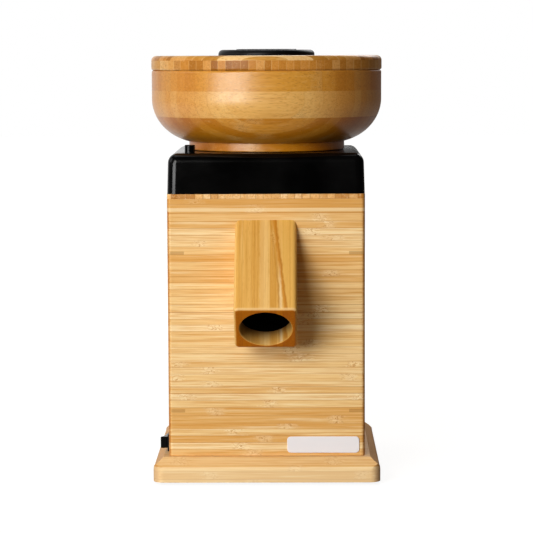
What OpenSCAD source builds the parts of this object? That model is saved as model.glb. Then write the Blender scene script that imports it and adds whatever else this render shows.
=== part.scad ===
// Electric stone grain mill with a turning bamboo hopper, a bamboo body and a 45 degree flour spout.
// Millimetres. Z up, the stones turn about Z. The origin is on that axis, where the feet stand.

/* [Base and feet] */
// Width and depth of the bevelled base
base_w = 194; // [188:1:204]
// Height of the base's upright edge
base_edge_h = 13.4; // [12:0.2:16]
// Height of the bevel over that edge
base_bevel_h = 7.3; // [6:0.1:9]
// Width of the bevel seen from above
base_bevel_w = 8.5; // [6:0.1:9]
// Radius of the base's upright corners
base_corner_r = 9; // [4:0.5:14]
// Height of the feet below the base
foot_h = 3; // [2.4:0.1:5]
// Radius of a foot
foot_r = 9; // [7:0.5:11]
// Depth of the recess that a foot sits in
foot_seat = 2; // [1.5:0.1:3]
// Depth that the screws reach into the base
base_bite = 10; // [6:0.5:12]
// Distance from the base's edge to a foot's centre
foot_inset = 24; // [20:0.5:28]
// Width of the vented bottom plate
vent_plate_w = 118; // [112:1:122]
// Thickness of the bottom plate
vent_plate_t = 2; // [1.5:0.1:3]
// Width of one air slot
vent_slot_w = 4; // [3:0.5:5]
// Number of air slots
vent_slots = 9; // [5:1:11]

/* [Body box] */
// Width and depth of the body
body_w = 168; // [160:1:174]
// Height of the body, from the base to the black housing
body_h = 224.7; // [216:0.5:240]
// Thickness of the bamboo panels
panel_t = 12; // [10:0.5:14]
// Radius of the body's upright corners
body_corner_r = 3.5; // [2:0.5:6]
// Height of the top board's edge that shows over the panels
board_edge_h = 4; // [3:0.5:6]
// Depth of the top board's plug between the panels
board_plug_h = 8; // [6:0.5:10]
// Gap round the plug
board_gap = 0.2; // [0.1:0.1:0.5]
// Side of a corner batten
batten_w = 12; // [8:1:13]
// Length of a corner batten
batten_l = 70; // [40:5:80]

/* [Spout and chute] */
// Side of the square spout
spout_w = 52.4; // [51:0.2:56]
// Slope of the spout below level
spout_angle = 45; // [42:0.5:47]
// Length of the spout along its axis, from the body's front
spout_l = 70.3; // [60:0.5:80]
// Height at which the spout's axis leaves the body, below the body's top
spout_drop = 59.15; // [57:0.5:64]
// Radius of the spout's mouth
spout_bore_r = 21.75; // [21.5:0.05:22.2]
// Depth of bare bamboo inside the mouth
spout_bore_l = 14; // [10:0.5:20]
// Radius of the spout's long edges
spout_edge_r = 2.5; // [1:0.5:4]
// Chamfer round the spout's end
spout_end_chamfer = 1.2; // [0.5:0.1:2]
// Outside radius of the chute tube
chute_r = 22.75; // [22.4:0.05:23.2]
// Wall of the chute
chute_wall = 1.5; // [1:0.1:1.8]
// Gap between the chute and the bamboo round it
chute_gap = 0.2; // [0.1:0.05:0.4]
// Depth that the spout's dowels reach into the spout and the panel
dowel_bite = 6; // [4:0.5:6.5]

/* [Top housing] */
// Height of the housing
house_h = 34.3; // [32:0.1:38]
// Radius of its upper edges
house_edge_r = 8; // [5:0.5:10]
// Radius of its upright corners
house_corner_r = 8; // [5:0.5:12]
// Draft of its sides, from bottom to top
house_draft = 1; // [0.5:0.1:2]
// Wall of the housing
house_wall = 3; // [2.4:0.1:4]
// Length of the collar that guides the hopper's ring, below the housing's top plate
collar_l = 9.7; // [7:0.1:10]
// Wall of that collar
collar_wall = 4; // [3:0.1:4]
// Distance of the screw bosses inside the side panels
boss_inset = 5; // [4.5:0.1:6]
// Gap between the screw bosses and the chamber's flange
boss_gap = 1.5; // [1:0.1:3]
// Radius of the screw bosses
boss_r = 4.5; // [4:0.1:5]
// Depth that the housing's screws reach into the bosses
boss_bite = 15; // [10:0.5:16]

/* [Release button] */
// Radius of the button
button_r = 4.5; // [4:0.1:5]
// Height of the button above the housing
button_out = 6.7; // [5.5:0.1:9]
// Travel of the button
button_travel = 4; // [3:0.5:5]
// Distance of the button from the body's left side
button_side = 19.1; // [18:0.1:22]
// Distance of the button from the body's front
button_front = 18; // [17:0.1:22]

/* [Hopper] */
// Outside radius of the bowl
bowl_r = 101; // [95:0.5:110]
// Height of the bowl's straight wall
bowl_wall_h = 24.9; // [20:0.1:32]
// Height of the bowl's rounded part
bowl_curve_h = 38.8; // [36:0.1:44]
// Width of the rounded part, seen from above
bowl_curve_w = 44; // [38:0.5:50]
// Thickness of the bowl's wall
bowl_wall = 9.5; // [8:0.5:11]
// Thickness of the bowl's floor
bowl_floor = 9.7; // [8.5:0.1:12]
// Radius of the bowl's foot
bowl_foot_r = 68.4; // [62:0.2:74]
// Height of the bowl's foot
bowl_foot_h = 5.6; // [5:0.1:8]
// Gap between the foot and the housing
bowl_foot_gap = 0.5; // [0.4:0.1:1]
// Rounding of the rim
rim_round = 1.5; // [0.8:0.1:2.5]
// Inside radius of the feeding throat
throat_r = 17.5; // [16:0.5:18]
// Wall of the throat
throat_wall = 2.5; // [2:0.1:2.5]
// Radius of the throat's flange
throat_flange_r = 32; // [28:0.5:38]

/* [Lid] */
// Thickness of the lid
lid_t = 12.56; // [10:0.1:16]
// Radius of the lid's upper edge
lid_edge_r = 4.5; // [2:0.1:5]
// Depth of the lid's plug in the bowl
lid_plug_h = 3.5; // [2:0.1:6]
// Gap round the plug
lid_plug_gap = 0.6; // [0.4:0.1:1.2]
// Radius of the knob
knob_r = 42.3; // [36:0.1:50]
// Height of the knob
knob_h = 5; // [4.6:0.1:9]
// Radius of the knob's rounded edge
knob_edge_r = 4; // [2:0.1:4.4]
// Radius of the plate on the knob
knob_plate_r = 26.5; // [20:0.5:32]
// Thickness of that plate
knob_plate_t = 1.2; // [0.8:0.1:1.6]
// Height of the plate above the knob
knob_plate_out = 0.6; // [0.3:0.1:0.7]

/* [Stones] */
// Radius of both stones
stone_r = 42.5; // [40:0.5:43]
// Thickness of the upper stone
upper_stone_t = 19; // [18.4:0.2:20]
// Thickness of the lower stone
lower_stone_t = 18; // [15:0.5:20]
// Gap between the stones at this setting
stone_gap = 1; // [0.8:0.1:1.4]
// Radius of the eye in each stone
stone_eye_r = 15; // [13:0.5:16]
// Distance of the grinding face below the housing's seat
grind_drop = 8.4; // [8:0.1:9]
// Number of furrows in each stone
furrows = 10; // [6:1:14]
// Width of a furrow
furrow_w = 7; // [5:0.5:8]
// Depth of a furrow
furrow_d = 1.6; // [1:0.1:2.4]
// Radius of the circle that the furrows are tangent to
furrow_offset = 11; // [8:0.5:13]
// Radius of the adjusting thread
thread_r = 50; // [49:0.2:51]
// Wall of the threaded ring
ring_wall = 5.95; // [5:0.05:6.2]
// Thickness of the threaded ring's top
ring_top_t = 4; // [3:0.1:4.5]
// Travel of the upper stone left above its setting
rise_room = 2.5; // [2.3:0.1:2.6]
// Radial gap of every turning or sliding fit
running_gap = 0.05; // [0.03:0.01:0.08]
// Distance of the guide pins from the axis
pin_circle = 60.5; // [60:0.1:61]
// Radius of a guide pin
pin_r = 2.5; // [2:0.1:2.8]

/* [Milling chamber] */
// Inside radius of the chamber
chamber_r = 52; // [51:0.5:52.5]
// Wall of the chamber
chamber_wall = 4; // [3:0.1:4.5]
// Thickness of the chamber's floor
chamber_floor_t = 4; // [3.6:0.1:6]
// Radius of the flange that rests on the top board
flange_r = 72; // [70:0.5:72.4]
// Thickness of that flange
flange_t = 4; // [3:0.1:4.4]
// Thickness of the disc that carries the lower stone
carrier_disc_t = 6; // [5:0.5:8]
// Height of the sweepers under that disc
sweeper_h = 6; // [4:0.5:8]
// Number of sweepers
sweepers = 4; // [3:1:6]
// Gap between the sweepers and the chamber
sweeper_gap = 1; // [0.8:0.1:1.6]
// Width of the flour outlet
outlet_w = 38; // [30:0.5:38]
// Height of the flour outlet
outlet_h = 22; // [16:0.5:22.5]
// Width of the felt seal round the shaft
seal_w = 6.5; // [5.5:0.5:7.5]

/* [Motor] */
// Gap between the motor and the side panels
motor_gap = 14; // [13:0.5:18]
// Length of the stator core
stator_l = 70; // [56:1:74]
// Height of the upper end shield
top_shield_h = 33; // [31:0.5:36]
// Height of the lower end shield
bottom_shield_h = 25; // [24:0.5:28]
// Wall of the end shields
shield_wall = 4; // [3:0.5:5]
// Thickness of the end shields' plates
shield_plate_t = 6; // [5:0.5:7]
// Thickness of the stator's ring behind the slots
stator_back = 9.5; // [8:0.5:12]
// Air gap between rotor and stator
air_gap = 0.5; // [0.3:0.1:0.8]
// Number of stator slots
slots = 18; // [12:2:24]
// Radial depth of a slot
slot_d = 12; // [9:0.5:13]
// Depth of the teeth's tips inside the slots
tooth_tip = 3; // [2:0.5:4]
// Width of a slot
slot_w = 6; // [4:0.5:6.5]
// Height of the winding's end turns
end_turn_h = 14; // [10:0.5:15]
// Radius of the shaft
shaft_r = 7.5; // [6.5:0.5:8]
// Radius of the shaft's threaded end
shaft_end_r = 5; // [4:0.5:6]
// Outside radius of a ball bearing
bearing_r = 17.5; // [16:0.5:19]
// Width of a ball bearing
bearing_w = 11; // [9:0.5:11.5]
// Radius of a bearing ball
ball_r = 3; // [2.4:0.1:3]
// Number of balls in a bearing
balls = 8; // [6:1:9]
// Distance of the cooling fan's edge inside the motor's
fan_inset = 8; // [4:0.5:14]
// Height of the fan's blades
fan_blade_h = 12; // [8:0.5:13]
// Number of fan blades
fan_blades = 9; // [6:1:12]
// Thickness of the rubber isolators over the motor
isolator_t = 7; // [5.5:0.5:9]
// Radius of an isolator
isolator_r = 8; // [7:0.5:9]
// Distance of the mounting bolts from the axis
mount_circle = 40; // [38:0.5:42]
// Radius of the run capacitor
capacitor_r = 15.5; // [14:0.5:16]
// Length of the run capacitor
capacitor_l = 66; // [50:1:74]
// Height of the capacitor's clip
clip_h = 12; // [8:1:16]
// Thickness of that clip
clip_t = 0.8; // [0.5:0.1:0.9]

/* [Switch and cord inlet] */
// Length of the switch's frame, front to back
switch_l = 21; // [20.6:0.1:23]
// Height of the switch's frame
switch_h = 15; // [14.6:0.1:16]
// Height of the frame over the side panel
switch_frame_t = 2; // [1.6:0.1:2.4]
// Distance from the body's front to the frame
switch_back = 14; // [13.5:0.5:20]
// Gap between the base and the frame
switch_lift = 1; // [0.5:0.1:3]
// Length of the switch's body inside the panel
switch_depth = 18; // [15:0.5:20]
// Tilt of the rocker each way
rocker_tilt = 15; // [11:0.5:16]
// Distance from the pivot to the rocker's ends, along its length
rocker_half_l = 8.3; // [8:0.1:8.4]
// Distance from the pivot to the rocker's ends, outwards
rocker_reach = 5.33; // [4.6:0.01:6]
// Radius of the cord inlet's hole
cord_r = 3.75; // [3:0.05:4.5]
// Radius of the inlet's flange
gland_flange_r = 10.5; // [9.5:0.5:12]
// Distance of the cord inlet from the body's left side
gland_side = 36; // [34:0.5:40]
// Height of the cord inlet over the base
gland_up = 24; // [20:0.5:30]
// Wall of the inlet's tube
gland_wall = 3.5; // [2.5:0.1:4]
// Length of the inlet's tube behind the panel
gland_in = 8; // [6:0.5:12]
// Height of the inlet's flange
gland_flange_t = 2.5; // [2:0.1:4]
// Height of the cone on that flange
gland_cone_h = 4.5; // [3:0.1:6]

/* [Wiring] */
// Distance between the terminal block's screws
block_pitch = 8; // [7:0.5:9]
// Depth of the terminal block, out from the back panel
block_d = 10; // [9:0.5:12]
// Radius of an insulated lead
lead_r = 1.3; // [1:0.1:1.5]
// Radius of the leads' bends
lead_bend = 2.5; // [2:0.1:2.8]

/* [Hidden] */
$fn = 96;

bamboo = "#d9a860";
bamboo_dark = "#b9853f";
black_gloss = "#101012";
black_matt = "#232325";
steel = "#b8bbc0";
zinc = "#9da0a6";
alloy = "#c3c5c8";
stone_grey = "#cfc8ba";
copper = "#b4622c";
rubber = "#1c1c1c";
felt = "#8f8a80";

// Levels from the floor up
base_z = foot_h;
body_z = base_z + base_edge_h + base_bevel_h;
house_z = body_z + body_h;
panel_top_z = house_z - board_edge_h;
plug_z = panel_top_z - board_plug_h;
flat_z = house_z + house_h;
ceiling_z = flat_z - house_wall;
foot_ring_z = flat_z + bowl_foot_gap;
bowl_z = foot_ring_z + bowl_foot_h;
curve_z = bowl_z + bowl_curve_h;
rim_z = curve_z + bowl_wall_h;
lid_top_z = rim_z + lid_t;
eps = 0.01;
past = 1;

// Body
half_w = body_w / 2;
inside_w = body_w - 2 * panel_t;
half_in = inside_w / 2;
foot_at = base_w / 2 - foot_inset;
vent_open_w = vent_plate_w - 14;
plate_screw_at = vent_plate_w / 2 - 4;

// Screw bosses beside the chamber's flange
boss_x = half_in - boss_inset;
boss_y = sqrt(pow(flange_r + boss_r + boss_gap, 2) - pow(boss_x, 2));

// Spout and chute
spout_z = house_z - spout_drop;
chute_in_r = chute_r - chute_wall;
chute_back_y = -(half_in + chamber_r + chamber_wall) / 2;
chute_roof_z = plug_z - 0.4;
spout_seat_h = spout_w / cos(spout_angle);

// Stones and chamber, from the grinding face down and up
lower_face_z = house_z - grind_drop;
upper_face_z = lower_face_z + stone_gap;
lower_stone_z = lower_face_z - lower_stone_t;
disc_z = lower_stone_z - carrier_disc_t;
chamber_in_z = disc_z - sweeper_h - sweeper_gap;
chamber_z = chamber_in_z - chamber_floor_t;
flange_top_z = house_z + flange_t;
web_z = upper_face_z + upper_stone_t;
web_t = 4;
web_r = pin_circle + 5.5;
skirt_r = stone_r + 3.5;
skirt_h = web_z - flange_top_z + 2;
ring_in_r = thread_r + running_gap;
ring_r = ring_in_r + ring_wall;
ring_z = web_z + web_t + rise_room;
ring_top_z = bowl_z + 0.7;
collar_in_r = ring_r + running_gap;
barrel_r = thread_r - 6;
barrel_top_z = ring_top_z - ring_top_t - rise_room - 2;
throat_out_r = throat_r + throat_wall;
bowl_in_z = ring_top_z + bowl_floor - 0.7;
pin_top_z = ceiling_z - collar_l - 2;

// Motor, hung under the chamber
motor_r = half_in - motor_gap;
slot_out_r = motor_r - stator_back;
stator_in_r = slot_out_r - slot_d - tooth_tip;
rotor_r = stator_in_r - air_gap;
fan_r = motor_r - fan_inset;
motor_top_z = chamber_z - isolator_t;
stator_z = motor_top_z - top_shield_h - stator_l;
motor_z = stator_z - bottom_shield_h;
bolt_post_r = 4;
bolt_circle = motor_r - bolt_post_r - 0.5;
upper_bearing_z = motor_top_z - shield_plate_t - bearing_w;
lower_bearing_z = motor_z + shield_plate_t;
fan_z = motor_z - fan_blade_h - 6;
inner_race_r = (bearing_r + shaft_r) / 2 - 2;
outer_race_r = (bearing_r + shaft_r) / 2 + 2;
ball_circle = (bearing_r + shaft_r) / 2;
capacitor_at = half_in - capacitor_r - 1;
capacitor_z = body_z + 10;

// Switch
switch_y = -half_w + switch_back + switch_l / 2;
switch_z = body_z + switch_lift + switch_h / 2;
switch_body_l = switch_l - 2;
switch_body_h = switch_h - 2.2;
rocker_h = switch_body_h - 2.8;
rocker_pivot_x = -half_w - switch_frame_t / 2;
rocker_pin_r = 0.8;
gland_x = half_w - gland_side;
gland_z = body_z + gland_up;
gland_r = cord_r + gland_wall;

// Wiring
block_x = -3 * block_pitch;
block_y = half_in - block_d;
block_hole_z = gland_z + block_pitch;
tab_x = 5;
terminal_y = 5;
terminal_l = 8;
cutout_x = 28;
cutout_y = 8;

button_x = half_w - button_side;
button_y = half_w - button_front;
button_top_z = flat_z + button_out;
button_flange_z = ceiling_z - 2.5;
screw_r = 2;
screw_head_r = 4;
screw_head_h = 2.4;

// ---- shared shapes ----

module rounded_square(w, d, r) {
    square([w - 2 * r, d], center = true);
    square([w, d - 2 * r], center = true);
    for (x = [-1, 1], y = [-1, 1])
        translate([x * (w / 2 - r), y * (d / 2 - r)]) circle(r = r);
}

module tube(outer, inner, h) {
    difference() {
        cylinder(r = outer, h = h);
        translate([0, 0, -past]) cylinder(r = inner, h = h + 2 * past);
    }
}

module round_at(circle_r, angles) {
    for (a = angles) rotate([0, 0, a]) translate([circle_r, 0, 0]) children();
}

module at_corners(x, y) {
    for (i = [-1, 1], j = [-1, 1]) translate([i * x, j * y, 0]) children();
}

// A profile in width and height, run square along both level axes
module both_ways(w) {
    intersection() {
        rotate([90, 0, 0]) linear_extrude(w, center = true) children();
        rotate([90, 0, 90]) linear_extrude(w, center = true) children();
    }
}

module pan_screw(shank_l) {
    translate([0, 0, -screw_head_h]) cylinder(r = screw_head_r, h = screw_head_h);
    cylinder(r = screw_r, h = shank_l);
}

module hex_nut(across, h) {
    cylinder(r = across / 2 / cos(30), h = h, $fn = 6);
}

// A round wire wound into a helix, standing on z = 0
module coil_spring(coil_r, wire_r, h, turns) {
    sides = 6;
    steps = 12 * turns;
    rise = (h - 2 * wire_r) / steps;
    points = [for (i = [0 : steps], j = [0 : sides - 1])
        let (a = 30 * i, b = 360 / sides * j, r = coil_r + wire_r * cos(b))
            [r * cos(a), r * sin(a), wire_r + rise * i + wire_r * sin(b)]];
    walls = [for (i = [0 : steps - 1], j = [0 : sides - 1])
        let (k = (j + 1) % sides, lo = sides * i, hi = sides * (i + 1))
            each [[lo + j, hi + j, hi + k], [lo + j, hi + k, lo + k]]];
    start = [for (j = [0 : sides - 1]) j];
    end = [for (j = [sides - 1 : -1 : 0]) sides * steps + j];
    polyhedron(points, concat(walls, [start], [end]));
}

// ---- body box ----

module body_blank(z, h) {
    translate([0, 0, z]) linear_extrude(h) rounded_square(body_w, body_w, body_corner_r);
}

module along_spout() {
    translate([0, -half_w, spout_z]) rotate([90 + spout_angle, 0, 0]) children();
}

module front_half_space() {
    translate([-body_w, -3 * body_w, 0]) cube([2 * body_w, 3 * body_w - half_w, 3 * body_w]);
}

module spout_dowel_rods() {
    for (x = [-1, 1], z = [-1, 1])
        translate([x * (spout_w / 2 - 5.2), dowel_bite - half_w, spout_z + z * (spout_seat_h / 2 - 9)])
            rotate([90, 0, 0]) cylinder(r = 2, h = 2 * dowel_bite);
}

module front_panel() {
    color(bamboo) difference() {
        intersection() {
            body_blank(body_z, panel_top_z - body_z);
            translate([-half_w, -half_w, body_z]) cube([body_w, panel_t, body_h]);
        }
        along_spout() translate([0, 0, -spout_w]) cylinder(r = chute_r + 2 * chute_gap, h = 2 * spout_w);
        spout_dowel_rods();
    }
}

module back_panel() {
    color(bamboo) difference() {
        intersection() {
            body_blank(body_z, panel_top_z - body_z);
            translate([-half_w, half_in, body_z]) cube([body_w, panel_t, body_h]);
        }
        translate([-gland_x, half_w + past, gland_z])
            rotate([90, 0, 0]) cylinder(r = gland_r, h = panel_t + 2 * past);
    }
}

module side_panel_blank() {
    translate([-half_w, -half_in, body_z]) cube([panel_t, inside_w, panel_top_z - body_z]);
}

module left_panel() {
    color(bamboo) difference() {
        side_panel_blank();
        translate([-half_w - past, switch_y - switch_body_l / 2, switch_z - switch_body_h / 2])
            cube([panel_t + 2 * past, switch_body_l, switch_body_h]);
    }
}

module right_panel() {
    color(bamboo) mirror([1, 0, 0]) side_panel_blank();
}

module corner_battens() {
    color(bamboo_dark) difference() {
        at_corners(half_in - batten_w / 2, half_in - batten_w / 2)
            translate([-batten_w / 2, -batten_w / 2, plug_z - batten_l]) cube([batten_w, batten_w, batten_l]);
        translate([0, 0, plug_z - screw_head_h - past]) at_corners(boss_x, boss_y)
            cylinder(r = screw_head_r + 1, h = screw_head_h + 2 * past);
    }
}

module top_board() {
    plug_w = inside_w - 2 * board_gap;
    color(bamboo) difference() {
        union() {
            body_blank(panel_top_z, board_edge_h);
            translate([-plug_w / 2, -plug_w / 2, plug_z]) cube([plug_w, plug_w, board_plug_h + eps]);
        }
        translate([0, 0, plug_z - past]) {
            cylinder(r = chamber_r + chamber_wall + 1, h = board_plug_h + board_edge_h + 2 * past);
            at_corners(boss_x, boss_y) cylinder(r = screw_r, h = board_plug_h + board_edge_h + 2 * past);
        }
        chamber_screw_places() translate([0, 0, -board_plug_h]) cylinder(r = screw_r, h = board_plug_h + past);
    }
}

module base_form() {
    h = base_edge_h + base_bevel_h;
    half = base_w / 2;
    top = half - base_bevel_w;
    intersection() {
        linear_extrude(h) rounded_square(base_w, base_w, base_corner_r);
        both_ways(base_w) polygon([
            [-half, 0], [half, 0], [half, base_edge_h], [top, h], [-top, h], [-half, base_edge_h],
        ]);
    }
}

module base_plinth() {
    color(bamboo) difference() {
        translate([0, 0, base_z]) base_form();
        translate([0, 0, base_z - past]) linear_extrude(body_z)
            rounded_square(vent_open_w, vent_open_w, 8);
        translate([0, 0, base_z - past]) linear_extrude(vent_plate_t + past)
            rounded_square(vent_plate_w + 1, vent_plate_w + 1, 4.5);
        at_corners(foot_at, foot_at) {
            translate([0, 0, base_z - past]) cylinder(r = foot_r, h = foot_seat + past);
            cylinder(r = screw_r, h = base_z + foot_seat + base_bite);
        }
        at_corners(plate_screw_at, plate_screw_at) cylinder(r = screw_r, h = base_z + vent_plate_t + base_bite);
    }
}

module bottom_plate() {
    pitch = (vent_open_w - 16) / vent_slots;
    color(black_matt) translate([0, 0, base_z]) difference() {
        linear_extrude(vent_plate_t) rounded_square(vent_plate_w, vent_plate_w, 4);
        for (i = [0 : vent_slots - 1])
            translate([pitch * (i - (vent_slots - 1) / 2), 0, -past]) linear_extrude(vent_plate_t + 2 * past)
                rounded_square(vent_slot_w, vent_open_w - 20, vent_slot_w / 2 - eps);
        translate([0, 0, -past]) at_corners(plate_screw_at, plate_screw_at)
            cylinder(r = screw_r, h = vent_plate_t + 2 * past);
    }
}

module bottom_plate_screws() {
    color(zinc) at_corners(plate_screw_at, plate_screw_at) translate([0, 0, base_z]) {
        translate([0, 0, -1.6]) cylinder(r = 3.2, h = 1.6);
        cylinder(r = screw_r, h = vent_plate_t + base_bite);
    }
}

module rubber_feet() {
    color(rubber) at_corners(foot_at, foot_at) difference() {
        cylinder(r = foot_r, h = foot_h + foot_seat);
        translate([0, 0, -past]) cylinder(r = screw_head_r + 1, h = past + 1);
        translate([0, 0, -past]) cylinder(r = screw_r, h = foot_h + foot_seat + 2 * past);
    }
}

module foot_screws() {
    color(zinc) at_corners(foot_at, foot_at) {
        translate([0, 0, 0.4]) cylinder(r = screw_head_r, h = 0.6);
        translate([0, 0, 1 - eps]) cylinder(r = screw_r, h = foot_h + foot_seat + base_bite - 1);
    }
}

// ---- spout and chute ----

module spout_form() {
    half = spout_w / 2;
    back = 2 * spout_w;
    c = spout_end_chamfer;
    intersection() {
        translate([0, 0, -back]) linear_extrude(back + spout_l) rounded_square(spout_w, spout_w, spout_edge_r);
        both_ways(2 * back) polygon([
            [-half, -back], [half, -back], [half, spout_l - c], [half - c, spout_l],
            [c - half, spout_l], [-half, spout_l - c],
        ]);
    }
}

module spout_block() {
    color(bamboo) difference() {
        intersection() {
            along_spout() spout_form();
            front_half_space();
        }
        along_spout() {
            cylinder(r = spout_bore_r, h = spout_l + past);
            translate([0, 0, -2 * spout_w]) cylinder(r = chute_r + chute_gap, h = 2 * spout_w + spout_l - spout_bore_l);
        }
        spout_dowel_rods();
    }
}

module spout_dowels() {
    color(bamboo_dark) spout_dowel_rods();
}

module chute_space(r, back_y, roof_z) {
    intersection() {
        along_spout() translate([0, 0, -2 * spout_w]) cylinder(r = r, h = 2 * spout_w + spout_l - spout_bore_l);
        translate([-spout_w, -2 * body_w, 0]) cube([2 * spout_w, 2 * body_w + back_y, roof_z]);
    }
}

module outlet_passage(y0, y1) {
    translate([-outlet_w / 2, y0, chamber_in_z]) cube([outlet_w, y1 - y0, outlet_h]);
}

module flour_chute() {
    color(black_gloss) difference() {
        chute_space(chute_r, chute_back_y, chute_roof_z);
        chute_space(chute_in_r, chute_back_y - chute_wall, chute_roof_z - chute_wall);
        along_spout() cylinder(r = chute_in_r, h = spout_l);
        outlet_passage(chute_back_y - 2 * chute_wall, chute_back_y + past);
    }
}

// ---- top housing and button ----

module house_profile(inset) {
    foot = half_w - inset;
    side = half_w - house_draft - inset;
    r = house_edge_r - inset;
    h = house_h - inset;
    polygon([
        [-foot, 0], [foot, 0], [side, h - r], [side - r, h], [r - side, h], [-side, h - r],
    ]);
    for (x = [-1, 1]) translate([x * (side - r), h - r]) circle(r = r);
}

module house_form(inset) {
    w = body_w - 2 * inset;
    intersection() {
        linear_extrude(house_h) rounded_square(w, w, house_corner_r - inset);
        both_ways(w) house_profile(inset);
    }
}

module top_housing() {
    sleeve_l = 14;
    color(black_gloss) difference() {
        union() {
            difference() {
                translate([0, 0, house_z]) house_form(0);
                translate([0, 0, house_z - eps]) house_form(house_wall);
            }
            translate([0, 0, ceiling_z - collar_l]) cylinder(r = collar_in_r + collar_wall, h = collar_l + eps);
            translate([0, 0, house_z]) at_corners(boss_x, boss_y) cylinder(r = boss_r, h = ceiling_z - house_z + eps);
            translate([-button_x, -button_y, ceiling_z - sleeve_l]) cylinder(r = button_r + 4.5, h = sleeve_l + eps);
        }
        translate([0, 0, house_z]) {
            cylinder(r = collar_in_r, h = house_h + past);
            translate([0, 0, -past]) at_corners(boss_x, boss_y) cylinder(r = screw_r, h = boss_bite + 1 + past);
        }
        translate([-button_x, -button_y, house_z]) {
            cylinder(r = button_r + running_gap, h = house_h + past);
            cylinder(r = button_r + 2.5, h = ceiling_z - house_z);
        }
    }
}

module housing_screws() {
    color(zinc) translate([0, 0, plug_z]) at_corners(boss_x, boss_y)
        pan_screw(board_plug_h + board_edge_h + boss_bite);
}

module release_button() {
    color(black_matt) translate([-button_x, -button_y, 0]) {
        difference() {
            translate([0, 0, button_flange_z]) cylinder(r = button_r, h = button_top_z - button_flange_z);
            translate([0, 0, button_top_z - 0.6]) difference() {
                cylinder(r = button_r + past, h = past);
                translate([0, 0, -eps]) cylinder(r1 = button_r, r2 = button_r - 0.7, h = 0.7);
            }
        }
        translate([0, 0, button_flange_z]) cylinder(r = button_r + 1.9, h = 2.2);
        translate([0, 0, house_z + button_travel + 2])
            cylinder(r = button_r - 1.5, h = button_flange_z - house_z - button_travel - 2 + eps);
    }
}

module release_spring() {
    color(steel) translate([-button_x, -button_y, house_z])
        coil_spring(button_r, 0.5, button_flange_z - house_z, 7);
}

// ---- hopper ----

function quarter(a, b, r0, z0, steps) =
    [for (i = [0 : steps]) let (t = 90 * i / steps) [r0 + a * sin(t), z0 - b * cos(t)]];

module hopper_bowl() {
    mouth_r = bowl_r - bowl_wall;
    in_w = bowl_curve_w - 4;
    in_h = curve_z + 3 - bowl_in_z;
    color(bamboo) difference() {
        union() {
            rotate_extrude() polygon(concat(
                [[0, bowl_z]],
                quarter(bowl_curve_w, bowl_curve_h, bowl_r - bowl_curve_w, curve_z, 24),
                [[bowl_r, rim_z - rim_round], [bowl_r - rim_round * 0.3, rim_z - rim_round * 0.3],
                 [bowl_r - rim_round, rim_z], [0, rim_z]]));
            translate([0, 0, foot_ring_z]) cylinder(r = bowl_foot_r, h = bowl_foot_h + 3);
        }
        rotate_extrude() polygon(concat(
            [[0, bowl_in_z]],
            quarter(in_w, in_h, mouth_r - in_w, bowl_in_z + in_h, 20),
            [[mouth_r, rim_z + past], [0, rim_z + past]]));
        translate([0, 0, foot_ring_z - past]) {
            cylinder(r = ring_r + 0.2, h = ring_top_z - foot_ring_z + past);
            cylinder(r = throat_out_r + 0.2, h = rim_z - foot_ring_z);
        }
        translate([0, 0, bowl_in_z - 2.5]) cylinder(r = throat_flange_r + 0.2, h = rim_z - bowl_in_z);
        ring_screw_places() cylinder(r = screw_r, h = ring_screw_l());
    }
}

function ring_screw_l() = ring_top_t + bowl_floor - 4;

module ring_screw_places() {
    translate([0, 0, ring_top_z - ring_top_t]) round_at(barrel_r - 6, [0 : 60 : 300]) children();
}

module hopper_throat() {
    flange_z = bowl_in_z - 2.5;
    color(black_matt) difference() {
        union() {
            translate([0, 0, web_z + 2]) cylinder(r = throat_out_r, h = bowl_in_z - web_z - 2);
            translate([0, 0, flange_z]) cylinder(r = throat_flange_r, h = 2.5);
        }
        translate([0, 0, web_z]) cylinder(r = throat_r, h = bowl_in_z);
        translate([0, 0, bowl_in_z - 4]) cylinder(r1 = throat_r, r2 = throat_r + 4, h = 4 + eps);
    }
}

module hopper_thread_ring() {
    color(black_matt) difference() {
        translate([0, 0, ring_z]) cylinder(r = ring_r, h = ring_top_z - ring_z);
        translate([0, 0, ring_z - past]) cylinder(r = ring_in_r, h = ring_top_z - ring_top_t - ring_z + past);
        translate([0, 0, ring_z]) cylinder(r = throat_out_r + 0.2, h = ring_top_z);
        ring_screw_places() translate([0, 0, -past]) cylinder(r = screw_r, h = ring_top_t + 2 * past);
    }
}

module hopper_ring_screws() {
    color(zinc) ring_screw_places() pan_screw(ring_screw_l());
}

// ---- lid ----

module lid_board() {
    lid_r = bowl_r + 0.3;
    r = lid_edge_r;
    color(bamboo) difference() {
        union() {
            rotate_extrude() {
                polygon([
                    [0, rim_z], [lid_r - 1, rim_z], [lid_r, rim_z + 1], [lid_r, lid_top_z - r],
                    [lid_r - r, lid_top_z], [0, lid_top_z],
                ]);
                translate([lid_r - r, lid_top_z - r]) circle(r = r);
            }
            translate([0, 0, rim_z - lid_plug_h])
                cylinder(r = bowl_r - bowl_wall - lid_plug_gap, h = lid_plug_h + eps);
        }
        knob_screw_places() {
            translate([0, 0, -lid_t - lid_plug_h - past]) cylinder(r = screw_r, h = lid_t + lid_plug_h + 2 * past);
            translate([0, 0, -lid_t - lid_plug_h - past]) cylinder(r = screw_head_r + 0.5, h = 3.5 + past);
        }
    }
}

module knob_screw_places() {
    translate([0, 0, lid_top_z]) round_at(knob_r / 2, [30 : 120 : 270]) children();
}

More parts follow.
